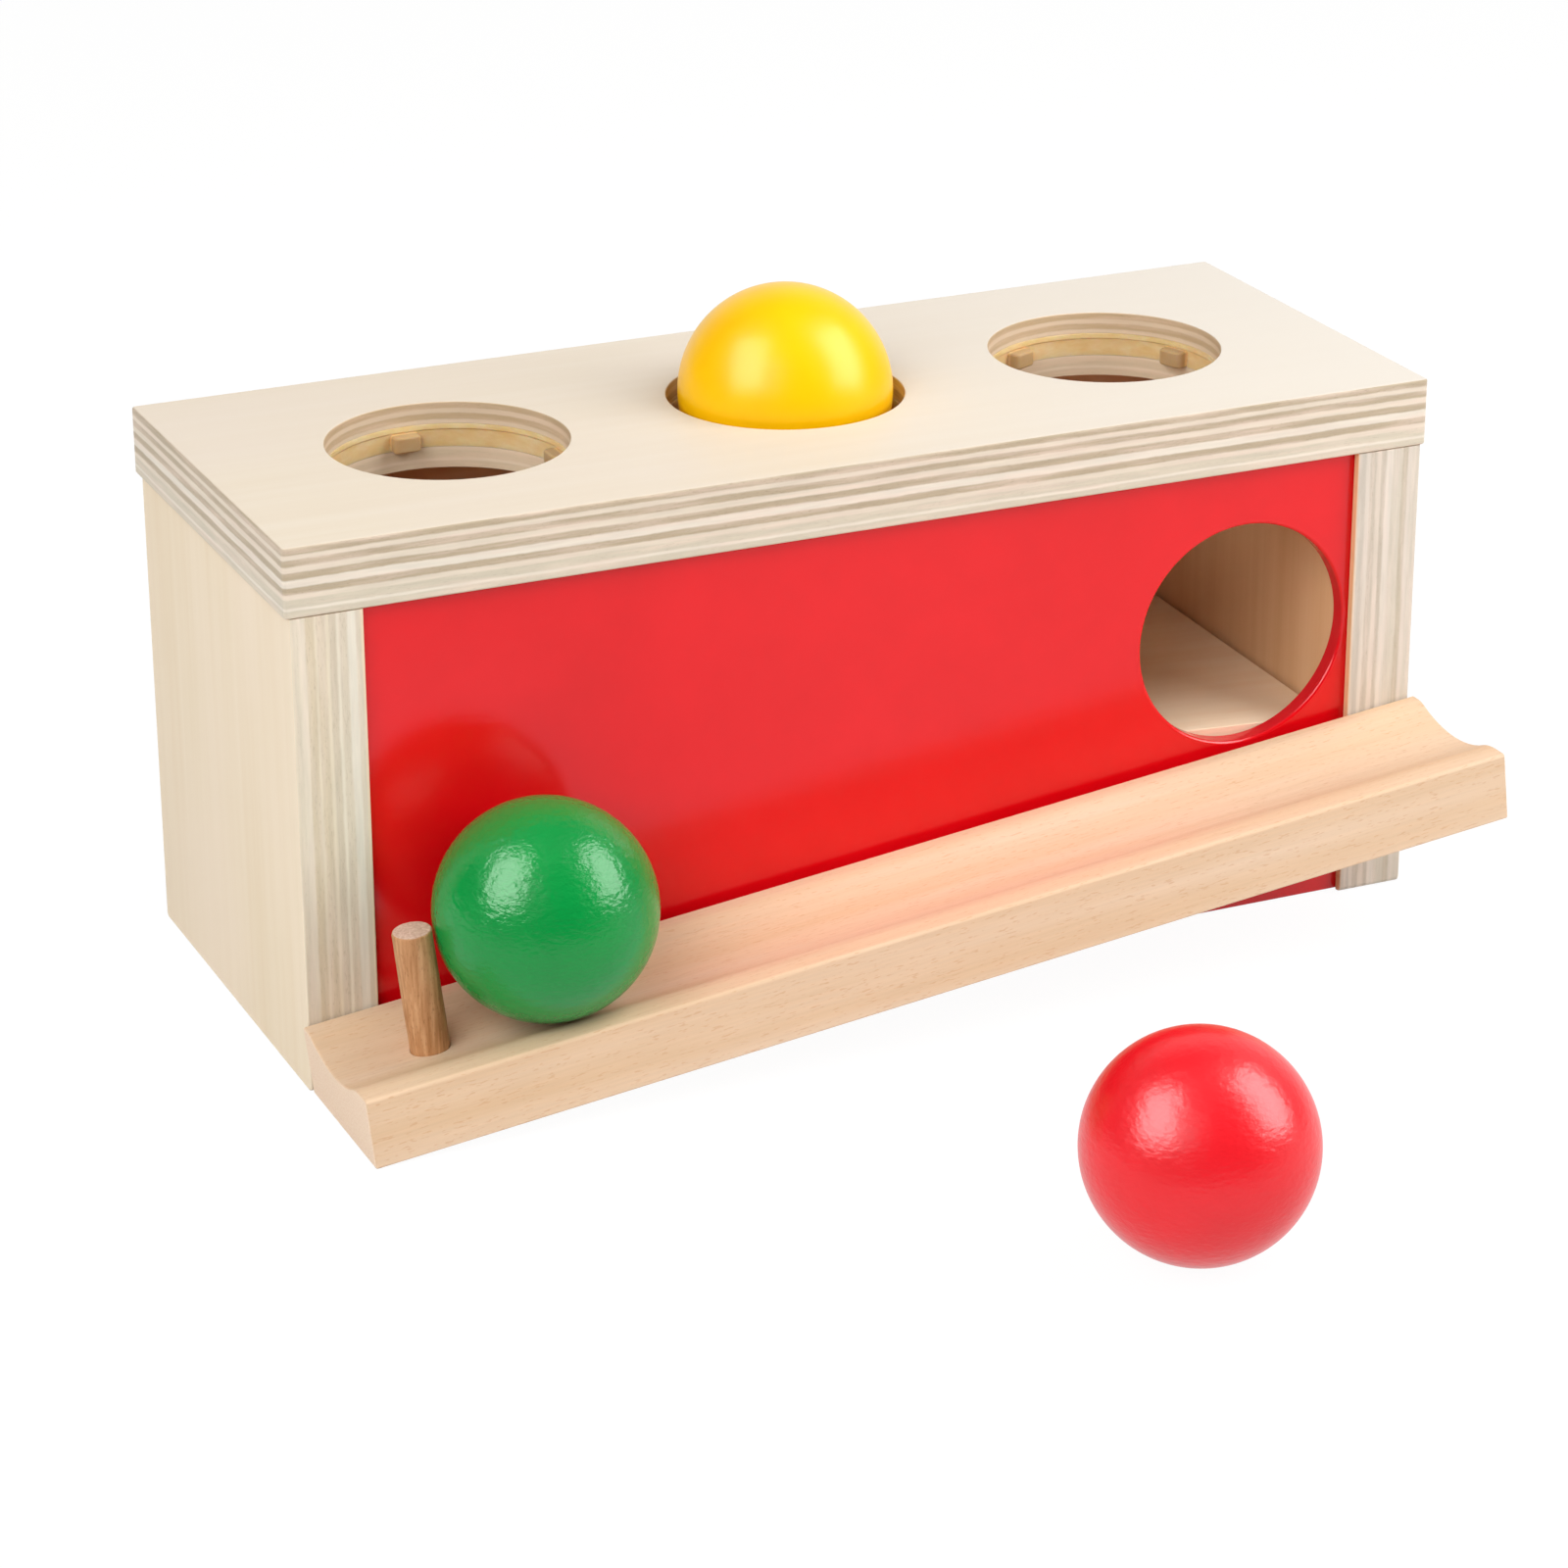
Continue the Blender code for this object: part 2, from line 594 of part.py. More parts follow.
make_top_board()
for side, hand in (("left", -1), ("right", 1)):
    make_side_panel(side, hand)
make_front_panel()
make_thin_panel("back_panel", BACK_PANEL_Y, red_lacquer)
make_ramp()
make_tray()
make_peg()
for (side, x), turn in zip(hole_places(), RING_TURNS):
    make_ring(side, x, turn)
make_balls()
make_dowels()
centre_on_origin(box)
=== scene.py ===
import math

import bmesh
import bpy
from mathutils import Euler, Matrix, Vector, noise


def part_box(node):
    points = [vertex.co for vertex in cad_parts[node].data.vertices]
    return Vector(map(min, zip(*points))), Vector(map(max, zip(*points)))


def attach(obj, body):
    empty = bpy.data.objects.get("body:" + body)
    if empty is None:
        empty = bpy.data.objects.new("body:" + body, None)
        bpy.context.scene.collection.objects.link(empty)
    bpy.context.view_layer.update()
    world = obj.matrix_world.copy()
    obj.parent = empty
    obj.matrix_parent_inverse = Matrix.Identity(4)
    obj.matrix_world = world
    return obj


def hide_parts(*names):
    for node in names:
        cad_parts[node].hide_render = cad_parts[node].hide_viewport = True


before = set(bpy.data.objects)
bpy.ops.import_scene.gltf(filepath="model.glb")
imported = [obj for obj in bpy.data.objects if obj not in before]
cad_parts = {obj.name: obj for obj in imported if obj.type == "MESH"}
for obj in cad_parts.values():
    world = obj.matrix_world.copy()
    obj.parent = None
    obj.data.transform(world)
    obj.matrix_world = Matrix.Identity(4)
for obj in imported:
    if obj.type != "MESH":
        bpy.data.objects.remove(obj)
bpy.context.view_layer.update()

scene = bpy.context.scene
perMetre = 1000  # every size below is in millimetres
smoothBelow = math.radians(35)  # faces that meet at less than this shade as one


# Shapes

def nodeBox(name):  # a CAD node's corners, in millimetres
    low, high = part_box(name)
    return Vector(low) * perMetre, Vector(high) * perMetre


def roundedLoop(corners, steps=6):  # (x, y, radius) corners, anticlockwise, each turned into an arc
    loop = []
    for index, (x, y, radius) in enumerate(corners):
        corner = Vector((x, y))
        toBefore = (Vector(corners[index - 1][:2]) - corner).normalized()
        toAfter = (Vector(corners[(index + 1) % len(corners)][:2]) - corner).normalized()
        if radius == 0:
            loop.append(corner)
            continue
        half = toBefore.angle(toAfter) / 2
        centre = corner + (toBefore + toAfter).normalized() * (radius / math.sin(half))
        start = corner + toBefore * (radius / math.tan(half)) - centre
        end = corner + toAfter * (radius / math.tan(half)) - centre
        shares = [step / steps for step in range(steps + 1)]
        loop += [centre + start.slerp(end, share) * radius for share in shares]  # slerp gives length 1
    return loop


def rectangle(left, bottom, right, top, low, high):  # low and high are the corner radii below and above
    return roundedLoop([(left, bottom, low), (right, bottom, low), (right, top, high), (left, top, high)])


def insetLoop(loop, inset):
    moved = []
    for index, point in enumerate(loop):
        before = (point - loop[index - 1]).normalized()
        after = (loop[(index + 1) % len(loop)] - point).normalized()
        inward = Vector((-before.y - after.y, before.x + after.x)).normalized()
        moved.append(point + inward * (inset / inward.dot(Vector((-before.y, before.x)))))
    return moved


def easedSteps(low, high, ease, steps=4):  # (inset, height) steps of a body with rounded ends
    turns = [math.pi / 2 * step / steps for step in range(steps + 1)]
    start = [(ease * (1 - math.sin(turn)), low + ease * (1 - math.cos(turn))) for turn in turns]
    return start + [(inset, low + high - height) for inset, height in reversed(start)]


def stackedBody(loop, levels, place):  # a loop drawn at every level, joined up and closed at both ends
    shape = bmesh.new()
    rings = []
    for inset, height in levels:
        rings.append([shape.verts.new(place(point.x, point.y, height)) for point in insetLoop(loop, inset)])
    count = len(loop)
    for lower, upper in zip(rings, rings[1:]):
        for index in range(count):
            after = (index + 1) % count
            shape.faces.new((lower[index], lower[after], upper[after], upper[index]))
    shape.faces.new(rings[0][::-1])
    shape.faces.new(rings[-1])
    return shape


def turnedBody(outline, steps, place=Matrix.Identity(4)):  # (radius, height) points turned about Z
    shape = bmesh.new()
    rings = []
    for radius, height in outline:
        if radius == 0:
            rings.append([shape.verts.new((0, 0, height))] * steps)
            continue
        turns = [2 * math.pi * step / steps for step in range(steps)]
        rings.append([shape.verts.new((radius * math.cos(a), radius * math.sin(a), height)) for a in turns])
    closed = outline[0][0] > 0
    for ring, following in zip(rings, rings[1:] + rings[:1] if closed else rings[1:]):
        for index in range(steps):
            after = (index + 1) % steps
            corners = [ring[index], ring[after], following[after], following[index]]
            shape.faces.new(list(dict.fromkeys(corners)))
    shape.transform(place)
    return shape


def pieceFrom(name, shape, material=None):
    bmesh.ops.recalc_face_normals(shape, faces=shape.faces)
    shape.transform(Matrix.Scale(1 / perMetre, 4))
    mesh = bpy.data.meshes.new(name)
    shape.to_mesh(mesh)
    shape.free()
    piece = bpy.data.objects.new(name, mesh)
    scene.collection.objects.link(piece)
    if material:
        mesh.materials.append(material)
    return piece


def settled(piece):  # its modifiers made mesh
    graph = bpy.context.evaluated_depsgraph_get()
    mesh = bpy.data.meshes.new_from_object(piece.evaluated_get(graph), depsgraph=graph)
    piece.modifiers.clear()
    piece.data = mesh
    return piece


def carve(piece, shapes):
    cutters = [pieceFrom("cutter", shape) for shape in shapes]
    for cutter in cutters:
        boolean = piece.modifiers.new("carve", "BOOLEAN")
        boolean.object = cutter
        boolean.operation = "DIFFERENCE"
        boolean.solver = "EXACT"
    settled(piece)
    for cutter in cutters:
        bpy.data.objects.remove(cutter)


def smoothed(piece):  # flat faces stay flat and only the eased edges shade round
    piece.data.shade_smooth()
    piece.data.set_sharp_from_angle(angle=smoothBelow)
    weighted = piece.modifiers.new("flatFaces", "WEIGHTED_NORMAL")
    weighted.keep_sharp = True
    weighted.weight = 100
    return settled(piece)


def standsFor(piece, node, body):
    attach(piece, body)
    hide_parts(node)


# Finishes

def linear(hexText, alpha=1.0):
    values = [int(hexText[at:at + 2], 16) / 255 for at in (1, 3, 5)]
    return (*[v / 12.92 if v <= 0.04045 else ((v + 0.055) / 1.055) ** 2.4 for v in values], alpha)


def socketOf(sockets, key):  # among the sockets that show, because Mix keeps hidden ones of the same names
    shown = [socket for socket in sockets if socket.enabled]
    return shown[key] if isinstance(key, int) else next(socket for socket in shown if socket.name == key)


def addNode(tree, kind, inputs=None, stops=None, **settings):
    node = tree.nodes.new(kind)
    for name, value in settings.items():
        setattr(node, name, value)
    for key, value in (inputs or {}).items():
        socket = socketOf(node.inputs, key)
        if isinstance(value, bpy.types.Node):
            value = socketOf(value.outputs, 0)
        if isinstance(value, bpy.types.NodeSocket):
            tree.links.new(value, socket)
        else:
            socket.default_value = linear(value) if isinstance(value, str) else value
    if stops:
        elements = node.color_ramp.elements
        elements.remove(elements[1])
        elements[0].position = stops[0][0]
        elements[0].color = linear(*stops[0][1:])
        for position, *colour in stops[1:]:
            elements.new(position).color = linear(*colour)
    return node


def newFinish(name, **inputs):  # a Principled material, and the spot on the piece in millimetres
    material = bpy.data.materials.new(name)
    material.use_nodes = True
    tree = material.node_tree
    shader = tree.nodes["Principled BSDF"]
    for key, value in inputs.items():
        shader.inputs[key.replace("_", " ")].default_value = value
    where = addNode(tree, "ShaderNodeTexCoord")
    spot = addNode(tree, "ShaderNodeVectorMath", {
        0: where.outputs["Object"], "Scale": perMetre}, operation="SCALE")
    return material, tree, shader, spot, where.outputs["Normal"]


def figure(tree, spot, size, span, into=(0.0, 1.0), detail=3.0, roughness=0.55):
    # Cloudy or streaky figure: size is its grain in millimetres on each axis, span the levels that are read.
    scaled = addNode(tree, "ShaderNodeVectorMath", {0: spot, 1: size}, operation="DIVIDE")
    clouds = addNode(tree, "ShaderNodeTexNoise", {
        "Vector": scaled, "Scale": 1.0, "Detail": detail, "Roughness": roughness})
    return addNode(tree, "ShaderNodeMapRange", {0: clouds, 1: span[0], 2: span[1], 3: into[0], 4: into[1]})


def facing(tree, normal, axis, span, side=0):  # how far the surface faces along an axis; side picks one way
    along = addNode(tree, "ShaderNodeSeparateXYZ", {0: normal}).outputs["XYZ".index(axis)]
    if side:
        turned = addNode(tree, "ShaderNodeMath", {0: along, 1: side}, operation="MULTIPLY")
    else:
        turned = addNode(tree, "ShaderNodeMath", {0: along}, operation="ABSOLUTE")
    return addNode(tree, "ShaderNodeMapRange", {0: turned, 1: span[0], 2: span[1]})


def roughened(tree, shader, height, strength, depth, socket="Normal"):  # depth is the relief in millimetres
    bump = addNode(tree, "ShaderNodeBump", {
        "Strength": strength, "Distance": depth / perMetre, "Height": height})
    tree.links.new(bump.outputs[0], shader.inputs[socket])


def veneerStops(bands, thickness, blur):  # (end, colour, end grain) bands down from the face, in millimetres
    stops = []
    start = 0.0
    for end, colour, endGrain in bands:
        stops.append(((start + (blur if start else 0)) / thickness, colour, endGrain))
        stops.append((min((end - blur) / thickness, 1.0), colour, endGrain))
        start = end
    return stops


def plywood(name, look):
    # Birch plywood, sanded and clear lacquered: a calm cream face, and on its edges the cross-laid veneers,
    # alternately pale and tan with pores, their joints slightly wavy. The side turned inwards is warmer.
    # Pores and fibres are drawn a few times as coarse as they are, so that they show.
    material, tree, shader, spot, normal = newFinish(name, Roughness=look["roughness"])
    layers = "XYZ".index(look["layersAlong"])
    grain = "XYZ".index(look["grainAlong"])

    def sized(acrossLayers, alongGrain, other):
        size = [other, other, other]
        size[grain] = alongGrain
        size[layers] = acrossLayers
        return tuple(size)

    depth = addNode(tree, "ShaderNodeMapRange", {
        0: addNode(tree, "ShaderNodeSeparateXYZ", {0: spot}).outputs[layers],
        1: look["layersFrom"][0], 2: look["layersFrom"][1]}, clamp=False)
    reach = look["waviness"] / look["thickness"]
    slowWave = figure(tree, spot, sized(8, 28, 28), (0.25, 0.75), (-reach, reach), 2.0)
    fastWave = figure(tree, spot, sized(1.1, 2.5, 2.5), (0.2, 0.8), (-reach / 2, reach / 2))
    waves = addNode(tree, "ShaderNodeMath", {0: slowWave, 1: fastWave}, operation="ADD")
    waved = addNode(tree, "ShaderNodeMath", {0: depth, 1: waves}, operation="ADD")
    veneers = addNode(tree, "ShaderNodeValToRGB", {0: waved},
                      stops=veneerStops(look["bands"], look["thickness"], look["blur"]))
    drift = figure(tree, spot, sized(1.4, 22, 22), (0.45, 0.7), (0.0, 0.5))
    edge = addNode(tree, "ShaderNodeMix", {0: drift, 1: veneers, 2: look["edgeBlush"]}, data_type="RGBA")
    shades = figure(tree, spot, sized(0.8, 11, 11), (0.3, 0.7), (0.93, 1.05), 4.0)
    edge = addNode(tree, "ShaderNodeMix", {
        0: 1.0, 1: edge, 2: shades}, data_type="RGBA", blend_type="MULTIPLY")
    pores = figure(tree, spot, sized(0.2, 1.25, 1.25), (0.58, 0.72), (0.0, 0.35), 2.0)
    poreShare = addNode(tree, "ShaderNodeMath", {0: pores, 1: veneers.outputs["Alpha"]}, operation="MULTIPLY")
    edge = addNode(tree, "ShaderNodeMix", {0: poreShare, 1: edge, 2: look["poreColour"]}, data_type="RGBA")
    # painted light: the walls of the holes, all that lies within half of the middle, are painted lighter and
    # warmer than the sawn edges, in place of the light that falls into them
    if "paintedHoleLight" in look:
        paintedHoleLight = look["paintedHoleLight"]
        fromMiddle = addNode(tree, "ShaderNodeVectorMath", {
            0: spot, 1: paintedHoleLight["middle"]}, operation="SUBTRACT")
        share = addNode(tree, "ShaderNodeVectorMath", {0: fromMiddle, 1: paintedHoleLight["half"]}, operation="DIVIDE")
        share = addNode(tree, "ShaderNodeVectorMath", {0: share}, operation="ABSOLUTE")
        sides = addNode(tree, "ShaderNodeSeparateXYZ", {0: share}).outputs
        share = addNode(tree, "ShaderNodeMath", {0: sides["X"], 1: sides["Y"]}, operation="MAXIMUM")
        share = addNode(tree, "ShaderNodeMapRange", {0: share, 1: 1.0, 2: 0.99, 3: 0.0, 4: paintedHoleLight["share"]})
        edge = addNode(tree, "ShaderNodeMix", {0: share, 1: edge, 2: paintedHoleLight["colour"]}, data_type="RGBA")

    streaks = figure(tree, spot, sized(3.3, 125, 4.5), (0.3, 0.7), detail=5.0, roughness=0.6)
    patches = figure(tree, spot, sized(50, 83, 50), (0.35, 0.7), (0.0, 0.7), 2.0)
    face = addNode(tree, "ShaderNodeValToRGB", {0: streaks}, stops=look["face"])
    face = addNode(tree, "ShaderNodeMix", {0: patches, 1: face, 2: look["faceBlush"]}, data_type="RGBA")
    if "paintedSheenFrom" in look:  # painted sheen: the face is painted paler and greyer towards one end, in place of the right lamp's glancing light
        start, end = look["paintedSheenFrom"]
        share = addNode(tree, "ShaderNodeMapRange", {
            0: addNode(tree, "ShaderNodeSeparateXYZ", {0: spot}).outputs[grain], 1: start, 2: end})
        face = addNode(tree, "ShaderNodeMix", {0: share, 1: face, 2: look["paintedSheenColour"]}, data_type="RGBA")
    if "innerSide" in look:
        inner = addNode(tree, "ShaderNodeValToRGB", {0: streaks}, stops=look["innerFace"])
        innerShare = facing(tree, normal, look["layersAlong"], (0.3, 0.8), look["innerSide"])
        face = addNode(tree, "ShaderNodeMix", {0: innerShare, 1: face, 2: inner}, data_type="RGBA")
    faceShare = facing(tree, normal, look["layersAlong"], (0.72, 0.92))
    colour = addNode(tree, "ShaderNodeMix", {0: faceShare, 1: edge, 2: face}, data_type="RGBA")
    tree.links.new(socketOf(colour.outputs, 0), shader.inputs["Base Color"])
    roughened(tree, shader, figure(tree, spot, sized(0.3, 4, 0.6), (0.0, 1.0), detail=4.0), 0.25, 0.1)
    return material


topLow, topHigh = nodeBox("top_board")
topThickness = topHigh.z - topLow.z
innerFace = [(0.0, "#E1B587"), (0.5, "#E6BC90"), (1.0, "#EAC298")]
tan, paleTan, cream, white = "#B9A88F", "#D2C7B3", "#DFD2C0", "#E5DBCC"
topPlywood = plywood("birch_plywood_lying", {
    "layersAlong": "Z", "grainAlong": "X", "layersFrom": (topHigh.z, topLow.z), "thickness": topThickness,
    "waviness": 0.16, "blur": 0.17, "roughness": 0.5,
    "bands": [(1.4, tan, 1), (2.4, cream, 0), (3.75, tan, 1), (5.05, cream, 0), (6.5, tan, 1),
              (8.1, white, 0), (9.5, tan, 1), (10.5, cream, 0), (12.2, paleTan, 0.5), (12.8, white, 0),
              (14.1, paleTan, 0.4), (topThickness, cream, 0)],
    "edgeBlush": "#E8D2C2", "poreColour": "#96806A",
    "face": [(0.0, "#DECFB9"), (0.5, "#E0D2BD"), (1.0, "#E2D5C2")], "faceBlush": "#E0D2C2",
    # the face is painted paler towards its right end: a painted sheen
    "paintedSheenFrom": (-60, 150), "paintedSheenColour": "#E0D8CD", "innerSide": -1, "innerFace": innerFace,
    # the walls of the drop holes are painted lighter and warmer: painted light
    "paintedHoleLight": {"middle": tuple((topLow + topHigh) / 2), "half": (124, 46, 1), "share": 0.3,
                "colour": "#E5BE88"}})

leftLow, leftHigh = nodeBox("left_side_panel")
rightLow, rightHigh = nodeBox("right_side_panel")
sideThickness = leftHigh.x - leftLow.x
sideFace = [(0.0, "#E8D4B5"), (0.5, "#EBD9BC"), (1.0, "#EEDDC2")]
greyTan, grey, pale, bright = "#D5C5AB", "#D8CBB7", "#E3D6C0", "#E9D4B9"
leftPlywood = plywood("birch_plywood_left_side", {
    "layersAlong": "X", "grainAlong": "Z", "layersFrom": (leftLow.x, leftHigh.x), "thickness": sideThickness,
    "waviness": 0.16, "blur": 0.2, "roughness": 0.5,
    "bands": [(0.45, pale, 0), (1.6, "#DDD1BD", 0.5), (3.0, "#E4D8C5", 0), (4.8, greyTan, 1), (5.3, pale, 0),
              (7.1, "#D7C7AE", 1), (7.85, pale, 0), (9.3, "#D3C5B0", 1), (9.95, "#E6DCCA", 0),
              (11.6, grey, 1), (13.35, "#E4DCCD", 0), (14.4, grey, 0.5), (sideThickness, bright, 0)],
    "edgeBlush": "#E9D9C9", "poreColour": "#A8957A", "face": sideFace, "faceBlush": "#F1DFC8",
    "innerSide": 1, "innerFace": innerFace})
rightPlywood = plywood("birch_plywood_right_side", {
    "layersAlong": "X", "grainAlong": "Z", "layersFrom": (rightLow.x, rightHigh.x),
    "thickness": sideThickness, "waviness": 0.2, "blur": 0.2, "roughness": 0.5,
    "bands": [(0.35, bright, 0), (2.1, "#C9BFB2", 0.5), (3.0, "#DBD0C3", 0), (4.5, "#C7BBAB", 1),
              (5.6, "#DACDBE", 0), (6.7, "#C5B9A9", 1), (8.3, "#DCD2C5", 0), (10.7, "#D1C7B7", 0.4),
              (12.0, "#C3B7A3", 1), (13.0, "#DACFC2", 0), (sideThickness, "#D4CABB", 0.3)],
    "edgeBlush": "#E8D7CB", "poreColour": "#A8957A", "face": sideFace, "faceBlush": "#F1DFC8",
    "innerSide": -1, "innerFace": innerFace})

rampLow, rampHigh = nodeBox("ball_ramp")
rampRise = rampHigh.z - rampLow.z
rampVeneers = [("#F0D2B4", 0), ("#E4C4A2", 1)] * 3 + [("#F0D2B4", 0)]
rampPlywood = plywood("birch_plywood_ramp", {
    "layersAlong": "Z", "grainAlong": "X", "layersFrom": (rampHigh.z, rampLow.z), "thickness": rampRise,
    "waviness": 0.2, "blur": 0.3, "roughness": 0.5,
    "bands": [(end, *veneer) for end, veneer in zip((2.0, 4.0, 6.0, 8.0, 10.0, 12.0, rampRise), rampVeneers)],
    "edgeBlush": "#E3CDBD", "poreColour": "#96806A",
    "face": [(0.0, "#EFD3B2"), (0.5, "#F3DCBE"), (1.0, "#F6E2C8")], "faceBlush": "#F4D6B2"})


def redLacquer(name, innerSide):
    # Thin plywood sprayed on one side with a semi-gloss red lacquer: even deep colour and a soft mirror of
    # what lies before it, broken by faint rub marks and orange peel. Its other side is bare wood, dusted
    # with red overspray.
    material, tree, shader, spot, normal = newFinish(
        name, Roughness=0.6, Specular_IOR_Level=0.0, Coat_Weight=0.95, Coat_Roughness=0.14, Coat_IOR=1.5)
    shade = figure(tree, spot, (20, 20, 20), (0.3, 0.7), detail=4.0)
    lacquer = addNode(tree, "ShaderNodeValToRGB", {0: shade}, stops=[(0.0, "#DC030F"), (1.0, "#E30613")])
    streaks = figure(tree, spot, (90, 4, 3.5), (0.3, 0.7), detail=5.0)
    bare = addNode(tree, "ShaderNodeValToRGB", {0: streaks}, stops=[(0.0, "#DEB288"), (1.0, "#EAC49E")])
    dust = figure(tree, spot, (35, 35, 35), (0.35, 0.65), (0.05, 0.3))
    bare = addNode(tree, "ShaderNodeMix", {0: dust, 1: bare, 2: "#B8241F"}, data_type="RGBA")
    innerShare = facing(tree, normal, "Y", (0.9, 0.98), innerSide)
    colour = addNode(tree, "ShaderNodeMix", {0: innerShare, 1: lacquer, 2: bare}, data_type="RGBA")
    faceShare = facing(tree, normal, "Y", (0.3, 0.7))  # the cut edges, sprayed more thinly
    colour = addNode(tree, "ShaderNodeMix", {0: faceShare, 1: "#D11C26", 2: colour}, data_type="RGBA")
    tree.links.new(socketOf(colour.outputs, 0), shader.inputs["Base Color"])
    rubs = figure(tree, spot, (8, 2, 2.2), (0.0, 1.0), detail=6.0, roughness=0.65)
    roughened(tree, shader, rubs, 0.4, 0.1, "Coat Normal")
    return material


traySlope = math.radians(6.48)


def beech():
    # Steamed beech, planed and clear lacquered: pinkish tan with short dark ray flecks along the grain,
    # paler where the end grain shows. Fibres and pores are drawn coarser than they are, so that they show.
    material, tree, shader, spot, normal = newFinish("beech", Roughness=0.6, Specular_IOR_Level=0.3)
    along = addNode(tree, "ShaderNodeMapping", {0: spot, "Rotation": (0, traySlope, 0)}, vector_type="POINT")
    bands = figure(tree, along, (165, 7, 7), (0.3, 0.7), detail=4.0)
    colour = addNode(tree, "ShaderNodeValToRGB", {0: bands},
                     stops=[(0.0, "#DAB894"), (0.5, "#DFC0A0"), (1.0, "#E4C9AE")])
    fibres = figure(tree, along, (20, 0.6, 0.6), (0.3, 0.7), (0.96, 1.03))
    colour = addNode(tree, "ShaderNodeMix", {
        0: 1.0, 1: colour, 2: fibres}, data_type="RGBA", blend_type="MULTIPLY")
    flecks = figure(tree, along, (2.2, 0.4, 0.4), (0.6, 0.7), (0.0, 0.42), 1.5)
    colour = addNode(tree, "ShaderNodeMix", {0: flecks, 1: colour, 2: "#C8946B"}, data_type="RGBA")
    pores = figure(tree, along, (2.5, 0.45, 0.45), (0.35, 0.65), detail=4.0)
    endGrain = addNode(tree, "ShaderNodeMix", {0: pores, 1: "#E8CBB0", 2: "#F2DBC4"}, data_type="RGBA")
    endways = addNode(tree, "ShaderNodeMapping", {0: normal, "Rotation": (0, traySlope, 0)})
    colour = addNode(tree, "ShaderNodeMix", {
        0: facing(tree, endways, "X", (0.7, 0.92)), 1: colour, 2: endGrain}, data_type="RGBA")
    tree.links.new(socketOf(colour.outputs, 0), shader.inputs["Base Color"])
    roughened(tree, shader, fibres, 0.2, 0.1)
    return material


def turnedWood(name, colours, darkStreak, along, roughness):
    # Bare round stock, cut from the rod and sanded: streaks along its length, rough grey-pink end grain,
    # with its pores drawn coarser than they are, so that they show.
    material, tree, shader, spot, normal = newFinish(name, Roughness=roughness)

    def sized(lengthways, across):
        return tuple(lengthways if axis == along else across for axis in "XYZ")

    streaks = figure(tree, spot, sized(14, 0.9), (0.3, 0.7), detail=4.0, roughness=0.6)
    colour = addNode(tree, "ShaderNodeValToRGB", {0: streaks}, stops=colours)
    flecks = figure(tree, spot, sized(1.3, 0.3), (0.58, 0.72), (0.0, 0.6), 2.0)
    colour = addNode(tree, "ShaderNodeMix", {0: flecks, 1: colour, 2: darkStreak}, data_type="RGBA")
    pores = figure(tree, spot, (0.55, 0.55, 0.55), (0.35, 0.65), detail=4.0)
    endGrain = addNode(tree, "ShaderNodeMix", {0: pores, 1: "#BE9E88", 2: "#DDC4B2"}, data_type="RGBA")
    colour = addNode(tree, "ShaderNodeMix", {
        0: facing(tree, normal, along, (0.75, 0.95), 1), 1: colour, 2: endGrain}, data_type="RGBA")
    tree.links.new(socketOf(colour.outputs, 0), shader.inputs["Base Color"])
    roughened(tree, shader, streaks, 0.5, 0.1)
    return material


dropHole = {"radius": 24.9, "ease": 0.3, "ringOuter": 26.7, "ringTop": 110.3, "ringBottom": 105.3,
            "gap": 0.05, "centres": (-75.58, -0.58, 74.42), "centreY": 77.8, "pitch": 75.0}
# the nubs' duller tan is painted shade
nubPaintedShade = {"within": 24.5, "fade": 0.6, "colour": "#B3946C", "share": 0.75}


def amberRubber():
    # Natural latex rubber, moulded: honey coloured, a little see-through at its thin lips, with a waxy sheen.
    material, tree, shader, spot, normal = newFinish(
        "amber_rubber", Roughness=0.3, IOR=1.5, Transmission_Weight=0.15, Subsurface_Weight=0.5,
        Subsurface_Scale=0.002)
    shader.inputs["Subsurface Radius"].default_value = (1.0, 0.6, 0.25)
    clouds = figure(tree, spot, (4, 4, 1.7), (0.3, 0.7), detail=4.0)
    colour = addNode(tree, "ShaderNodeValToRGB", {0: clouds},
                     stops=[(0.0, "#F0CA8C"), (0.5, "#F6D49C"), (1.0, "#FBDFB2")])
    # painted shade: the nubs stand free of the wood behind and look duller, so all that lies near enough to a
    # hole's middle is painted a duller tan
    place = addNode(tree, "ShaderNodeSeparateXYZ", {0: spot}).outputs
    middle = (dropHole["centres"][1], dropHole["centreY"], 0)
    across = addNode(tree, "ShaderNodeMath", {
        0: place["X"], 1: middle[0] + dropHole["pitch"] / 2, 2: middle[0] - dropHole["pitch"] / 2},
        operation="WRAP")
    around = addNode(tree, "ShaderNodeCombineXYZ", {0: across, 1: place["Y"]})
    reach = addNode(tree, "ShaderNodeVectorMath", {0: around, 1: middle}, operation="DISTANCE")
    share = addNode(tree, "ShaderNodeMapRange", {
        0: reach.outputs["Value"], 1: nubPaintedShade["within"], 2: nubPaintedShade["within"] - nubPaintedShade["fade"],
        3: 0.0, 4: nubPaintedShade["share"]})
    colour = addNode(tree, "ShaderNodeMix", {0: share, 1: colour, 2: nubPaintedShade["colour"]}, data_type="RGBA")
    tree.links.new(socketOf(colour.outputs, 0), shader.inputs["Base Color"])
    roughened(tree, shader, figure(tree, spot, (1.2, 1.2, 0.6), (0.0, 1.0)), 0.3, 0.1)
    return material


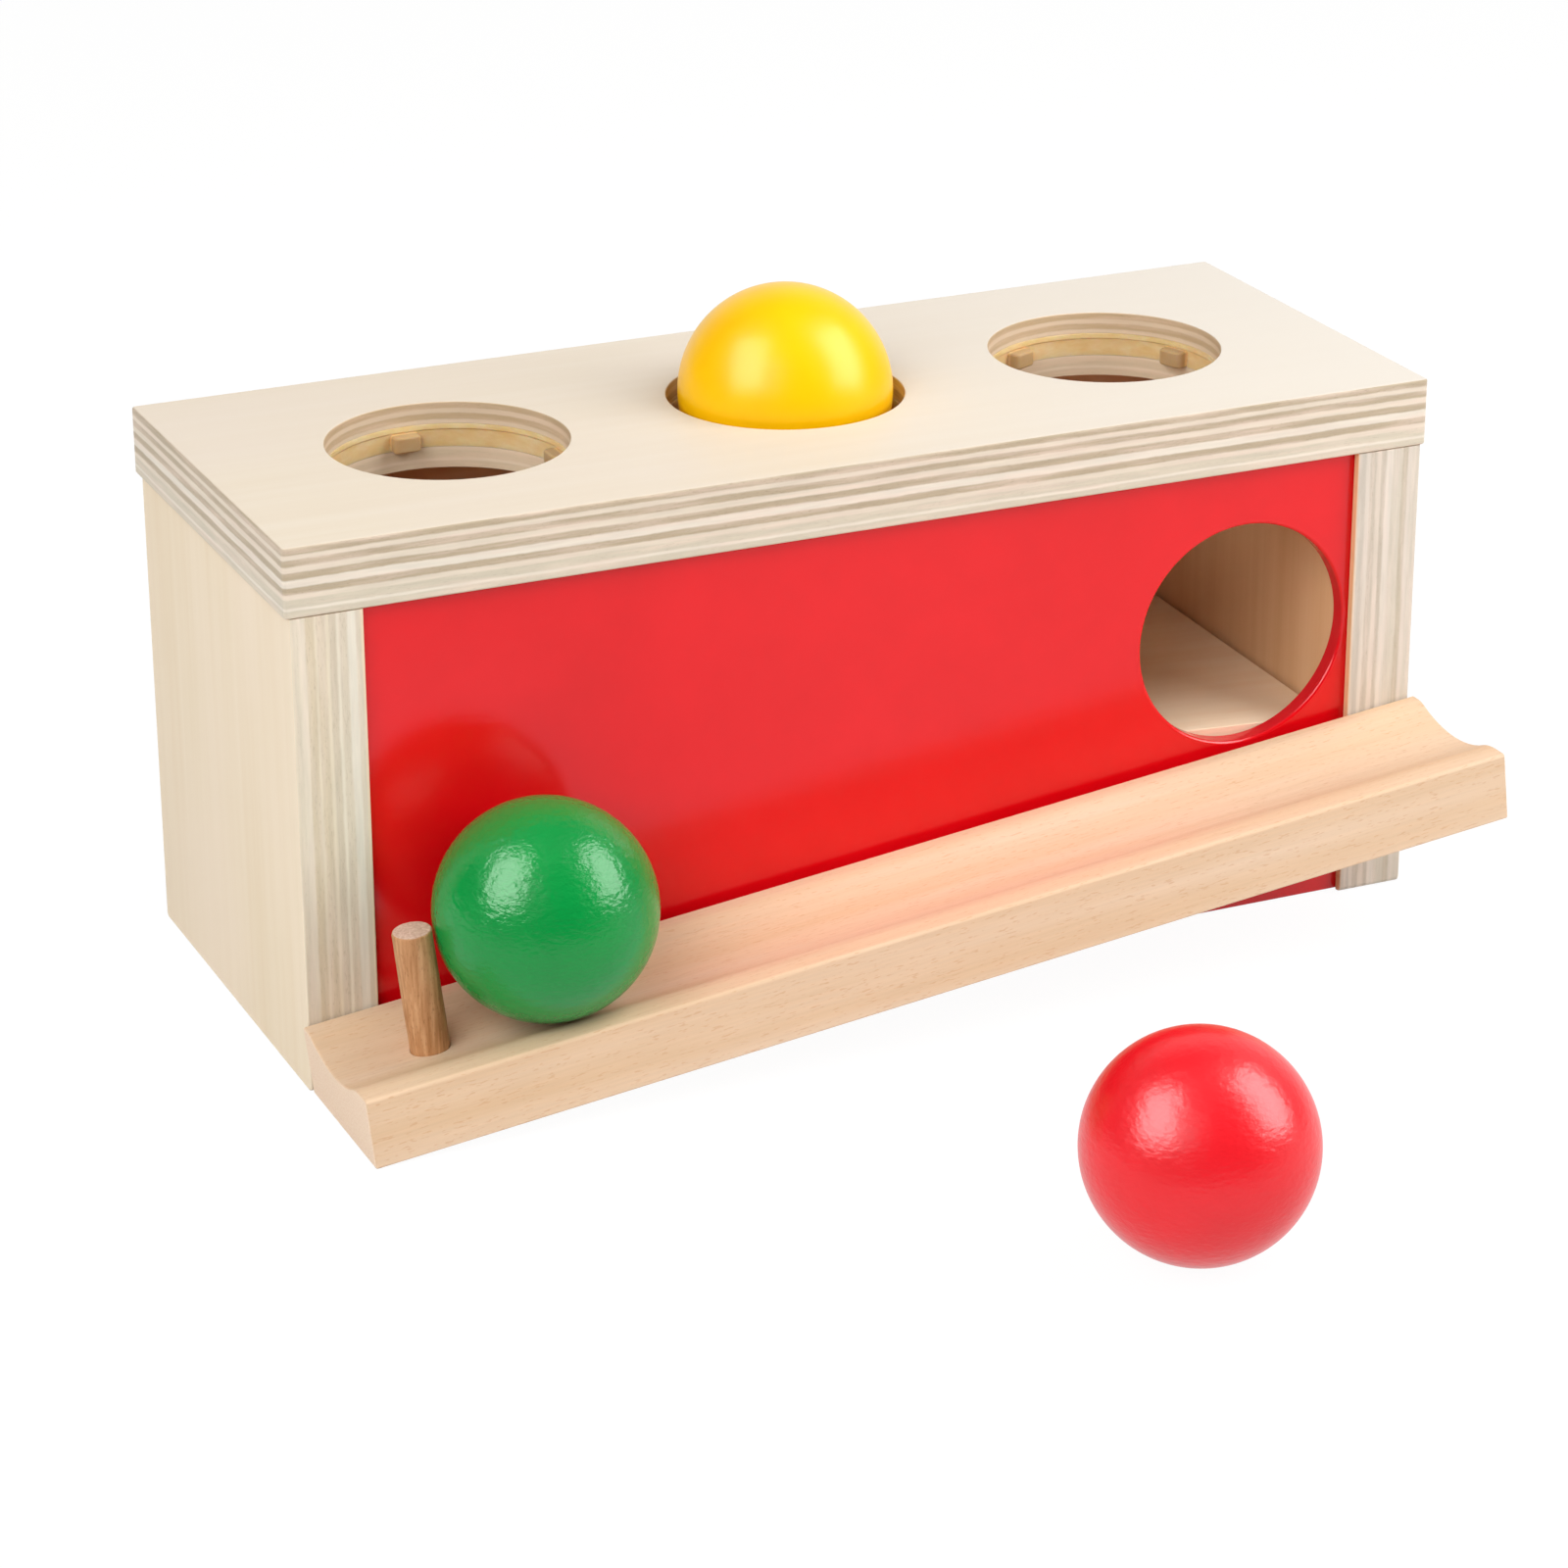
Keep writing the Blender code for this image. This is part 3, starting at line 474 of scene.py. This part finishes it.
def ballLacquer(name, dark, light, gloss, roughness, brush):
    # Turned beech dipped in gloss enamel: one strong colour, with lathe and brush marks that fray its gleams.
    material, tree, shader, spot, normal = newFinish(
        name, Roughness=roughness, IOR=1.5, Specular_IOR_Level=gloss)
    clouds = figure(tree, spot, (17, 17, 17), (0.3, 0.7))
    colour = addNode(tree, "ShaderNodeValToRGB", {0: clouds}, stops=[(0.0, dark), (1.0, light)])
    tree.links.new(colour.outputs[0], shader.inputs["Base Color"])
    marks = figure(tree, spot, (1.8, 1.8, 1.0), (0.0, 1.0), detail=2.0)
    roughened(tree, shader, marks, brush, 0.2)
    return material


redFrontBoard = redLacquer("red_lacquered_front_board", 1)
redBackBoard = redLacquer("red_lacquered_back_board", -1)
trayBeech = beech()
pegBeech = turnedWood(
    "dark_beech", [(0.0, "#A97448"), (0.5, "#C18D60"), (1.0, "#D6A77B")], "#8E5C36", "Z", 0.6)
pine = turnedWood("pine", [(0.0, "#D9B888"), (0.5, "#E4C79B"), (1.0, "#EBD3AC")], "#C79B66", "Y", 0.65)
rubber = amberRubber()
ballFinishes = {
    "yellow_ball": ballLacquer("yellow_lacquer", "#FDC000", "#FFC601", 0.25, 0.29, 0.1),
    "green_ball": ballLacquer("green_lacquer", "#008538", "#008E3C", 0.42, 0.24, 1.0),
    "red_ball": ballLacquer("red_ball_lacquer", "#E2141F", "#E91A26", 0.5, 0.28, 0.6),
}
print("finishes made")


# Pieces

boards = {"ease": 0.5, "planCorner": 0.8, "footCorner": 1.3, "panelEase": 0.4, "panelCorner": 0.5,
          "joint": 0.1, "grooveGap": 0.3, "holeSteps": 128, "socketSteps": 24}
over = 2.0  # a cutter runs this far past the face it opens


def rimArc(radius, height, ease, inwards, steps=5):  # a hole's eased rim, from the face into the hole
    turns = [math.pi / 2 * step / steps for step in range(steps + 1)]
    return [(radius + ease * (1 - math.sin(a)), height + inwards * ease * (1 - math.cos(a))) for a in turns]


def dropHoleCutter(x):
    radius, ease = dropHole["radius"], dropHole["ease"]
    grooveOuter = dropHole["ringOuter"] + dropHole["gap"]
    grooveTop = dropHole["ringTop"] + dropHole["gap"]
    grooveBottom = dropHole["ringBottom"] - dropHole["gap"]
    outline = [(0, topHigh.z + over), (radius + ease, topHigh.z + over)]
    outline += rimArc(radius, topHigh.z, ease, -1)
    outline += [(radius, grooveTop), (grooveOuter, grooveTop)]
    outline += [(grooveOuter, grooveBottom), (radius, grooveBottom)]
    outline += rimArc(radius, topLow.z, ease, 1)[::-1]
    outline += [(radius + ease, topLow.z - over), (0, topLow.z - over)]
    return turnedBody(outline, boards["holeSteps"], Matrix.Translation((x, dropHole["centreY"], 0)))


def roundSocket(radius, low, high, place):
    return turnedBody([(0, high), (radius, high), (radius, low), (0, low)], boards["socketSteps"], place)


dowelSockets = {"radius": 3.3, "xs": (-118.88, 117.12), "ys": (47.35, 106.15), "low": 88.3, "high": 108.9}
traySockets = {"radius": 2.8, "xs": (-120.88, 119.12), "from": 18.9, "to": 39.5}


def dowelSocket(x, y):
    low, high = dowelSockets["low"], dowelSockets["high"]
    return roundSocket(dowelSockets["radius"], low, high, Matrix.Translation((x, y, 0)))


def traySocket(x):
    low, high = nodeBox("left_tray_dowel" if x < 0 else "right_tray_dowel")
    place = Matrix.Translation((x, 0, (low.z + high.z) / 2)) @ Matrix.Rotation(-math.pi / 2, 4, "X")
    return roundSocket(traySockets["radius"], traySockets["from"], traySockets["to"], place)


def makeTopBoard():
    corner = boards["planCorner"]
    loop = rectangle(topLow.x, topLow.y, topHigh.x, topHigh.y, corner, corner)
    levels = easedSteps(topLow.z, topHigh.z, boards["ease"])
    board = pieceFrom("top_board_dressed", stackedBody(loop, levels, lambda x, y, h: (x, y, h)), topPlywood)
    sockets = [dowelSocket(x, y) for x in dowelSockets["xs"] for y in dowelSockets["ys"]]
    carve(board, [dropHoleCutter(x) for x in dropHole["centres"]] + sockets)
    standsFor(smoothed(board), "top_board", "box")


def boxCutter(low, high):
    shape = bmesh.new()
    bmesh.ops.create_cube(shape, size=1)
    low, high = Vector(low), Vector(high)
    shape.transform(Matrix.Translation((low + high) / 2) @ Matrix.Diagonal((*(high - low), 1)))
    return shape


def makeSidePanel(side, low, high, material, hand):
    top = topLow.z - boards["joint"]  # under the top board, where the edge is left square
    loop = rectangle(low.y, low.z, high.y, top, boards["footCorner"], 0)
    levels = easedSteps(low.x, high.x, boards["panelEase"])
    flush = top - boards["panelEase"] * 1.01  # what is above it is drawn up to the top
    body = stackedBody(loop, levels, lambda y, z, h: (h, y, top if z > flush else z))
    panel = pieceFrom(side + "_side_panel_dressed", body, material)
    grooves = []
    gap = boards["grooveGap"]
    for node in ("front_panel", "back_panel"):
        panelLow, panelHigh = nodeBox(node)
        floor = panelLow.x - gap if hand < 0 else panelHigh.x + gap
        mouth = high.x + over if hand < 0 else low.x - over
        grooves.append(boxCutter((min(floor, mouth), panelLow.y - gap, low.z - over),
                                 (max(floor, mouth), panelHigh.y + gap, high.z + over)))
    sockets = [dowelSocket(x, y) for x in dowelSockets["xs"] if x * hand > 0 for y in dowelSockets["ys"]]
    sockets += [traySocket(x) for x in traySockets["xs"] if x * hand > 0]
    carve(panel, grooves + sockets)
    standsFor(smoothed(panel), side + "_side_panel", "box")


exitHole = {"x": 84.22, "z": 63.6, "radius": 24.25, "frontEase": 0.7, "backEase": 0.4}


def makeRedPanel(node, material, withHole):
    low, high = nodeBox(node)
    loop = rectangle(low.x, low.z, high.x, high.z, boards["panelCorner"], boards["panelCorner"])
    levels = easedSteps(low.y, high.y, boards["panelEase"])
    panel = pieceFrom(node + "_dressed", stackedBody(loop, levels, lambda x, z, h: (x, h, z)), material)
    if withHole:
        radius, front, back = exitHole["radius"], exitHole["frontEase"], exitHole["backEase"]
        outline = [(0, low.y - over), (radius + front, low.y - over)] + rimArc(radius, low.y, front, 1)
        outline += rimArc(radius, high.y, back, -1)[::-1]
        outline += [(radius + back, high.y + over), (0, high.y + over)]
        place = Matrix.Translation((exitHole["x"], 0, exitHole["z"])) @ Matrix.Rotation(-math.pi / 2, 4, "X")
        carve(panel, [turnedBody(outline, boards["holeSteps"], place)])
    standsFor(smoothed(panel), node, "box")


makeTopBoard()
makeSidePanel("left", leftLow, leftHigh, leftPlywood, -1)
makeSidePanel("right", rightLow, rightHigh, rightPlywood, 1)
makeRedPanel("front_panel", redFrontBoard, True)
makeRedPanel("back_panel", redBackBoard, False)
print("boards made")

tray = {"start": (-125.83, 29.05, 0), "length": 254.93, "depth": 36.8, "height": 15.0, "ridge": 3.3,
        "lip": 6.3, "groove": 3.5, "edge": 0.5, "lipRound": 0.8, "ridgeRound": 5.0, "mouthRound": 12.0,
        "endEase": 0.45, "grooveSteps": 40, "mouthSteps": 5, "cornerSteps": 5}
trayFrame = Matrix.Translation(tray["start"]) @ Matrix.Rotation(-traySlope, 4, "Y")
grooveMiddle = -(tray["depth"] + tray["ridge"] - tray["lip"]) / 2
peg = {"inset": 20.2, "radius": 4.0, "rise": 26.1, "seat": 8.0, "ease": 0.5, "steps": 48, "rings": 40,
       "socketGap": 0.12, "seatGap": 0.3,
       # it is uneven by some hundredths, in waves of so many to the millimetre, drawn out along it
       "unevenness": 0.035, "slowWave": 0.9, "fastWave": 2.5, "drawnOut": 0.15, "topDip": 0.06,
       "topWave": 1.7}


def makeTray():
    depth, height, small = tray["depth"], tray["height"], tray["edge"]
    half = (depth - tray["ridge"] - tray["lip"]) / 2
    radius = (half * half + tray["groove"] ** 2) / (2 * tray["groove"])
    reach = math.asin(half / radius)
    steps = tray["grooveSteps"]
    skipped = tray["mouthSteps"]  # the rounded mouth takes their place
    turns = [reach - 2 * reach * step / steps for step in range(skipped, steps - skipped + 1)]
    axis = height - tray["groove"] + radius
    groove = [(grooveMiddle + radius * math.sin(turn), axis - radius * math.cos(turn), 0) for turn in turns]
    corners = [(-depth, 0, small), (0, 0, small), (0, height, small)]
    corners += [(grooveMiddle + half, height, tray["ridgeRound"])] + groove
    corners += [(grooveMiddle - half, height, tray["mouthRound"]), (-depth, height, tray["lipRound"])]
    levels = easedSteps(0, tray["length"], tray["endEase"])
    loop = roundedLoop(corners, tray["cornerSteps"])
    body = stackedBody(loop, levels, lambda x, y, h: trayFrame @ Vector((h, x, y)))
    piece = pieceFrom("ball_tray_dressed", body, trayBeech)
    floor = height - tray["groove"] - peg["seat"] - peg["seatGap"]
    place = trayFrame @ Matrix.Translation((peg["inset"], grooveMiddle, 0))
    pegSocket = roundSocket(peg["radius"] + peg["socketGap"], floor, height + over, place)
    carve(piece, [traySocket(x) for x in traySockets["xs"]] + [pegSocket])
    standsFor(smoothed(piece), "ball_tray", "box")


def makePeg():  # sawn and sanded by hand, so it is a little out of round
    base = tray["height"] - tray["groove"] - peg["seat"]
    top = tray["height"] - tray["groove"] + peg["rise"]
    radius, ease = peg["radius"], peg["ease"]
    length = top - base - 2 * ease
    straight = [base + ease + length * step / peg["rings"] for step in range(peg["rings"] + 1)]
    outline = [(0, top)] + rimArc(radius, top, -ease, 1)[1:-1]
    outline += [(radius, height) for height in reversed(straight)]
    outline += [(radius - ease, base), (0, base)]
    shape = turnedBody(outline, peg["steps"])
    for vertex in shape.verts:
        around = Vector((vertex.co.x, vertex.co.y, vertex.co.z * peg["drawnOut"]))
        waves = 2 * noise.noise(around * peg["slowWave"]) + noise.noise(around * peg["fastWave"])
        swell = 1 + peg["unevenness"] / radius * waves
        vertex.co.x *= swell
        vertex.co.y *= swell
        if vertex.co.z > top - ease / 2:
            vertex.co.z -= peg["topDip"] * (1 + noise.noise(vertex.co * peg["topWave"]))
    shape.transform(trayFrame @ Matrix.Translation((peg["inset"], grooveMiddle, 0)))
    piece = pieceFrom("stop_peg_dressed", shape, pegBeech)
    standsFor(smoothed(piece), "stop_peg", "box")


makeTray()
makePeg()
print("tray and peg made")

ring = {"outer": dropHole["ringOuter"], "inner": dropHole["radius"], "top": dropHole["ringTop"],
        "bottom": dropHole["ringBottom"], "lipProud": 0.25, "lipRim": ((0.1, 0.15), (0.3, 0)), "steps": 128,
        "nubTop": 109.0, "nubTip": 21.85, "nubRoot": 25.85, "nubInset": 0.1, "nubWidth": 6.0, "nubs": 4,
        "nubRound": 1.2, "nubRoundSteps": 6, "nubEase": 0.5, "nubEaseSteps": 3,
        "turns": {"left": 1.5, "middle": 10.0, "right": 22.0}}


def nubTree():  # sets the nubs round a ring's band and joins them to it
    tree = bpy.data.node_groups.new("ring_nubs", "GeometryNodeTree")
    tree.interface.new_socket("Geometry", in_out="INPUT", socket_type="NodeSocketGeometry")
    for name, kind in (("Nub", "Object"), ("Count", "Int"), ("Turn", "Float"), ("Centre", "Vector"),
                       ("Material", "Material")):
        tree.interface.new_socket(name, in_out="INPUT", socket_type="NodeSocket" + kind)
    tree.interface.new_socket("Geometry", in_out="OUTPUT", socket_type="NodeSocketGeometry")
    given = addNode(tree, "NodeGroupInput").outputs
    share = addNode(tree, "ShaderNodeMath", {0: 2 * math.pi, 1: given["Count"]}, operation="DIVIDE")
    index = addNode(tree, "GeometryNodeInputIndex")
    angle = addNode(tree, "ShaderNodeMath", {0: index, 1: share, 2: given["Turn"]}, operation="MULTIPLY_ADD")
    places = addNode(tree, "GeometryNodePoints", {"Count": given["Count"], "Position": given["Centre"]})
    nub = addNode(tree, "GeometryNodeObjectInfo", {"Object": given["Nub"]})
    nubs = addNode(tree, "GeometryNodeInstanceOnPoints", {
        "Points": places, "Instance": nub.outputs["Geometry"],
        "Rotation": addNode(tree, "ShaderNodeCombineXYZ", {"Z": angle})})
    joined = addNode(tree, "GeometryNodeMeshBoolean", operation="UNION", solver="EXACT")
    for part in (given["Geometry"], addNode(tree, "GeometryNodeRealizeInstances", {0: nubs}).outputs[0]):
        tree.links.new(part, joined.inputs["Mesh 2"])
    whole = addNode(tree, "GeometryNodeRealizeInstances", {0: joined.outputs["Mesh"]})
    finished = addNode(tree, "GeometryNodeSetMaterial", {"Geometry": whole, "Material": given["Material"]})
    addNode(tree, "NodeGroupOutput", {"Geometry": finished})
    return tree


def nubShape():
    length = ring["nubRoot"] - ring["nubTip"]
    low = ring["bottom"] + ring["nubInset"]
    height = ring["nubTop"] - ring["nubInset"] - low
    shape = bmesh.new()
    bmesh.ops.create_cube(shape, size=1)
    place = Matrix.Translation((ring["nubTip"] + length / 2, 0, low + height / 2))
    shape.transform(place @ Matrix.Diagonal((length, ring["nubWidth"], height, 1)))
    middle = ring["nubTip"] + length / 2
    tips = [edge for edge in shape.edges if max(vertex.co.x for vertex in edge.verts) < middle
            and edge.verts[0].co.y * edge.verts[1].co.y > 0]  # the two upright edges of its tip
    bmesh.ops.bevel(shape, geom=tips, offset=ring["nubRound"], segments=ring["nubRoundSteps"],
                    profile=0.5, affect="EDGES")
    rims = [edge for edge in shape.edges if edge.calc_face_angle() > 1]  # the edges that are still square
    bmesh.ops.bevel(shape, geom=rims, offset=ring["nubEase"], segments=ring["nubEaseSteps"],
                    profile=0.5, affect="EDGES")
    return shape


def makeRings():
    tree = nubTree()
    nub = pieceFrom("nub", nubShape())
    proud = ring["inner"] - ring["lipProud"]
    outline = [(ring["outer"], ring["top"]), (ring["outer"], ring["bottom"]), (ring["inner"], ring["bottom"]),
               (ring["inner"], ring["nubTop"]), (proud, ring["nubTop"] + ring["lipProud"]),
               (proud, (ring["top"] + ring["nubTop"]) / 2)]
    outline += [(proud + inset, ring["top"] - drop) for inset, drop in ring["lipRim"]]
    for x, (side, turn) in zip(dropHole["centres"], ring["turns"].items()):
        centre = Vector((x, dropHole["centreY"], 0))
        band = pieceFrom(side + "_retaining_ring_dressed",
                         turnedBody(outline, ring["steps"], Matrix.Translation(centre)), rubber)
        modifier = band.modifiers.new("nubs", "NODES")
        modifier.node_group = tree
        given = {"Nub": nub, "Count": ring["nubs"], "Turn": math.radians(turn), "Centre": centre / perMetre,
                 "Material": rubber}
        for item in tree.interface.items_tree:
            if item.name in given:
                modifier[item.identifier] = given[item.name]
        settled(band)
        standsFor(smoothed(band), side + "_retaining_ring", "box")
    bpy.data.objects.remove(nub)


makeRings()
print("rings made")

balls = {"fineness": 6, "unevenness": 0.02, "wave": 0.12, "slots": {
    "yellow_ball": "yellow_lacquer", "green_ball": "green_lacquer", "red_ball": "red_ball_lacquer"}}


def makeBall(node):  # turned by eye, so a few hundredths out of round
    low, high = nodeBox(node)
    shape = bmesh.new()
    bmesh.ops.create_icosphere(shape, subdivisions=balls["fineness"], radius=(high.z - low.z) / 2)
    for vertex in shape.verts:
        dip = balls["unevenness"] * (1 + noise.noise(vertex.co * balls["wave"])) / 2
        vertex.co -= vertex.co.normalized() * dip
    shape.transform(Matrix.Translation((low + high) / 2))
    ball = pieceFrom(node + "_dressed", shape, ballFinishes[node])
    ball.data.shade_smooth()
    ball.visible_glossy = node != "red_ball"  # the loose ball leaves no reflection in the lacquered board
    standsFor(ball, node, node)


for node, slot in balls["slots"].items():
    makeBall(node)
print("balls made")

rampBoard = {"ease": 0.25, "easeSteps": 2, "endGap": 0.7, "endReach": 1.5}


def makeRamp():  # the frame's board with its edges sanded round
    shape = bmesh.new()
    shape.from_mesh(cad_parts["ball_ramp"].data)
    shape.transform(Matrix.Scale(perMetre, 4))
    bmesh.ops.remove_doubles(shape, verts=shape.verts, dist=0.001)
    bmesh.ops.dissolve_limit(shape, angle_limit=math.radians(0.5), verts=shape.verts, edges=shape.edges)
    for corner in shape.verts:  # its low end stops short of the side panel, which shows as a dark line
        if corner.co.x > rampHigh.x - rampBoard["endReach"]:
            corner.co.x -= rampBoard["endGap"]
    bmesh.ops.bevel(shape, geom=shape.edges[:], offset=rampBoard["ease"], segments=rampBoard["easeSteps"],
                    profile=0.5, affect="EDGES")
    ramp = pieceFrom("ball_ramp_dressed", shape, rampPlywood)
    standsFor(smoothed(ramp), "ball_ramp", "box")


makeRamp()
for name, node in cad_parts.items():
    if "dowel" in name or "cleat" in name:
        node.data.materials.clear()
        node.data.materials.append(pine)
print("ramp, cleats and dowels finished")


# Studio

# where the soft boxes stand: the levels of the faces place their lights, the gloss of the balls their gleams
leftWay, rightWay = (-0.710, 0.030, 0.695), (0.688, -0.348, 0.643)
leftGleam, rightGleam = (-0.741, -0.157, 0.653), (0.72, -0.385, 0.572)
studio = {
    "floorRadius": 4.0, "floorSteps": 96, "floorDrop": 0.1,  # the radius in metres, the drop in millimetres
    "floorColour": "#DBD9D6", "floorGlow": 0.9, "floorWhite": 1.06,
    # the floor's reflection fades towards the camera, where the table ends in the dark of the room
    "glossyFloorFrom": 0.17, "glossyFloorTo": 0.38, "glossyFloorEnd": 0.08,
    "worldLevel": 0.1, "darkSide": 0.06, "backdropFrom": 0.45, "backdropTo": 0.85,
    "ceilingFrom": 0.8, "ceilingLevel": 0.4,
    # from: direction of the lamp from the object; size and distance in metres, tilt in degrees
    "lamps": {
        "left_soft_light": {"from": leftWay, "size": (1.44, 2.6), "distance": 2.0, "tilt": 25,
                            "radiance": 1.03, "inGloss": False},
        "left_soft_gleam": {"from": leftGleam, "size": (0.6, 0.95), "distance": 1.0, "tilt": 25,
                            "radiance": 6.8, "inGloss": True},
        "right_soft_light": {"from": rightWay, "size": (0.68, 1.24), "distance": 0.95, "tilt": -25,
                             "radiance": 3.5, "inGloss": False},
        "right_soft_gleam": {"from": rightGleam, "size": (0.6, 0.95), "distance": 1.0, "tilt": -25,
                             "radiance": 5.8, "inGloss": True},
        "front_fill_light": {"from": (-0.63, -0.52, 0.57), "size": (0.8, 0.8), "distance": 1.2, "tilt": 0,
                             "radiance": 3.6, "inGloss": False},
    },
    "lacquered": ("front_panel", "back_panel", "yellow_ball", "green_ball", "red_ball"),
    "aim": (0.0, 0.03, 0.06),
}
view = {"place": (-0.38845, -0.78442, 0.42022), "azimuth": 24.190, "pitch": 22.612, "roll": -0.182,
        "lens": 109.08, "sensor": 36, "clipStart": 0.01}
away = (math.sin(math.radians(view["azimuth"])), math.cos(math.radians(view["azimuth"])), 0)


def makeFloor():
    shape = bmesh.new()
    bmesh.ops.create_circle(
        shape, cap_ends=True, segments=studio["floorSteps"], radius=studio["floorRadius"] * perMetre)
    shape.transform(Matrix.Translation((0, 0, -studio["floorDrop"])))
    material = bpy.data.materials.new("studio_floor")
    material.use_nodes = True
    tree = material.node_tree
    tree.nodes.clear()
    path = addNode(tree, "ShaderNodeLightPath").outputs
    shown = addNode(tree, "ShaderNodeMath", {
        0: path["Is Camera Ray"], 1: path["Is Glossy Ray"]}, operation="MAXIMUM")
    shown = addNode(tree, "ShaderNodeMath", {0: shown, 1: path["Is Transmission Ray"]}, operation="MAXIMUM")
    share = addNode(tree, "ShaderNodeMath", {0: shown, 1: studio["floorGlow"]}, operation="MULTIPLY")
    where = addNode(tree, "ShaderNodeTexCoord").outputs["Object"]
    behind = addNode(tree, "ShaderNodeVectorMath", {0: where, 1: away}, operation="DOT_PRODUCT")
    near = addNode(tree, "ShaderNodeMapRange", {
        0: behind.outputs["Value"], 1: -studio["glossyFloorTo"], 2: -studio["glossyFloorFrom"],
        3: studio["glossyFloorEnd"], 4: 1.0})
    strength = addNode(tree, "ShaderNodeMix", {0: path["Is Glossy Ray"], 1: studio["floorWhite"], 2: near})
    paper = addNode(tree, "ShaderNodeBsdfDiffuse", {"Color": studio["floorColour"]})
    glow = addNode(tree, "ShaderNodeEmission", {"Color": "#FFFFFF", "Strength": strength})
    mixed = addNode(tree, "ShaderNodeMixShader", {0: share, 1: paper, 2: glow})
    addNode(tree, "ShaderNodeOutputMaterial", {"Surface": mixed})
    floor = pieceFrom("floor", shape, material)


def makeWorld():
    world = bpy.data.worlds.new("studio")
    scene.world = world
    world.use_nodes = True
    tree = world.node_tree
    tree.nodes.clear()
    path = addNode(tree, "ShaderNodeLightPath").outputs
    where = addNode(tree, "ShaderNodeTexCoord").outputs["Generated"]
    behind = addNode(tree, "ShaderNodeVectorMath", {0: where, 1: away}, operation="DOT_PRODUCT")
    reflected = addNode(tree, "ShaderNodeMapRange", {
        0: behind.outputs["Value"], 1: studio["backdropFrom"], 2: studio["backdropTo"],
        3: studio["darkSide"], 4: 1.0})
    upwards = addNode(tree, "ShaderNodeSeparateXYZ", {0: where}).outputs["Z"]
    ceiling = addNode(tree, "ShaderNodeMapRange", {
        0: upwards, 1: studio["ceilingFrom"], 2: 1.0, 3: 0.0, 4: studio["ceilingLevel"]})
    reflected = addNode(tree, "ShaderNodeMath", {0: reflected, 1: ceiling}, operation="MAXIMUM")
    level = addNode(tree, "ShaderNodeMix", {0: path["Is Glossy Ray"], 1: studio["worldLevel"], 2: reflected})
    shown = addNode(tree, "ShaderNodeMath", {
        0: path["Is Camera Ray"], 1: path["Is Transmission Ray"]}, operation="MAXIMUM")
    level = addNode(tree, "ShaderNodeMix", {0: shown, 1: level, 2: 1.0})
    sky = addNode(tree, "ShaderNodeBackground", {"Color": "#FFFFFF", "Strength": level})
    addNode(tree, "ShaderNodeOutputWorld", {"Surface": sky})


def makeLamps():  # each soft box is two lamps: one lights, one shows in the lacquered pieces' gloss
    lacquered = bpy.data.collections.new("lacquered")
    for piece in studio["lacquered"]:
        lacquered.objects.link(bpy.data.objects[piece + "_dressed"])
    for name, look in studio["lamps"].items():
        light = bpy.data.lights.new(name, "AREA")
        light.shape = "RECTANGLE"
        light.size, light.size_y = look["size"]
        # an area lamp shines with its watts over four times its area
        light.energy = 4 * light.size * light.size_y * look["radiance"]
        lamp = bpy.data.objects.new(name, light)
        direction = Vector(look["from"]).normalized()
        tilt = Matrix.Rotation(math.radians(look["tilt"]), 3, "Z")
        turn = direction.to_track_quat("Z", "Y").to_matrix() @ tilt
        place = Vector(studio["aim"]) + direction * look["distance"]
        lamp.matrix_world = Matrix.LocRotScale(place, turn, None)
        lamp.visible_camera = False
        lamp.visible_diffuse = not look["inGloss"]
        lamp.visible_glossy = look["inGloss"]
        if look["inGloss"]:
            lamp.light_linking.receiver_collection = lacquered
        scene.collection.objects.link(lamp)


def makeCamera():
    data = bpy.data.cameras.new("camera")
    data.lens = view["lens"]
    data.sensor_width = view["sensor"]
    data.clip_start = view["clipStart"]
    camera = bpy.data.objects.new("camera", data)
    turn = Euler((math.radians(90 - view["pitch"]), 0, math.radians(-view["azimuth"]))).to_matrix()
    roll = Matrix.Rotation(math.radians(view["roll"]), 3, "Z")
    camera.matrix_world = Matrix.LocRotScale(Vector(view["place"]), turn @ roll, None)
    scene.collection.objects.link(camera)
    scene.camera = camera


makeFloor()
makeWorld()
makeLamps()
makeCamera()
scene.view_settings.view_transform = "Standard"
print("studio set")
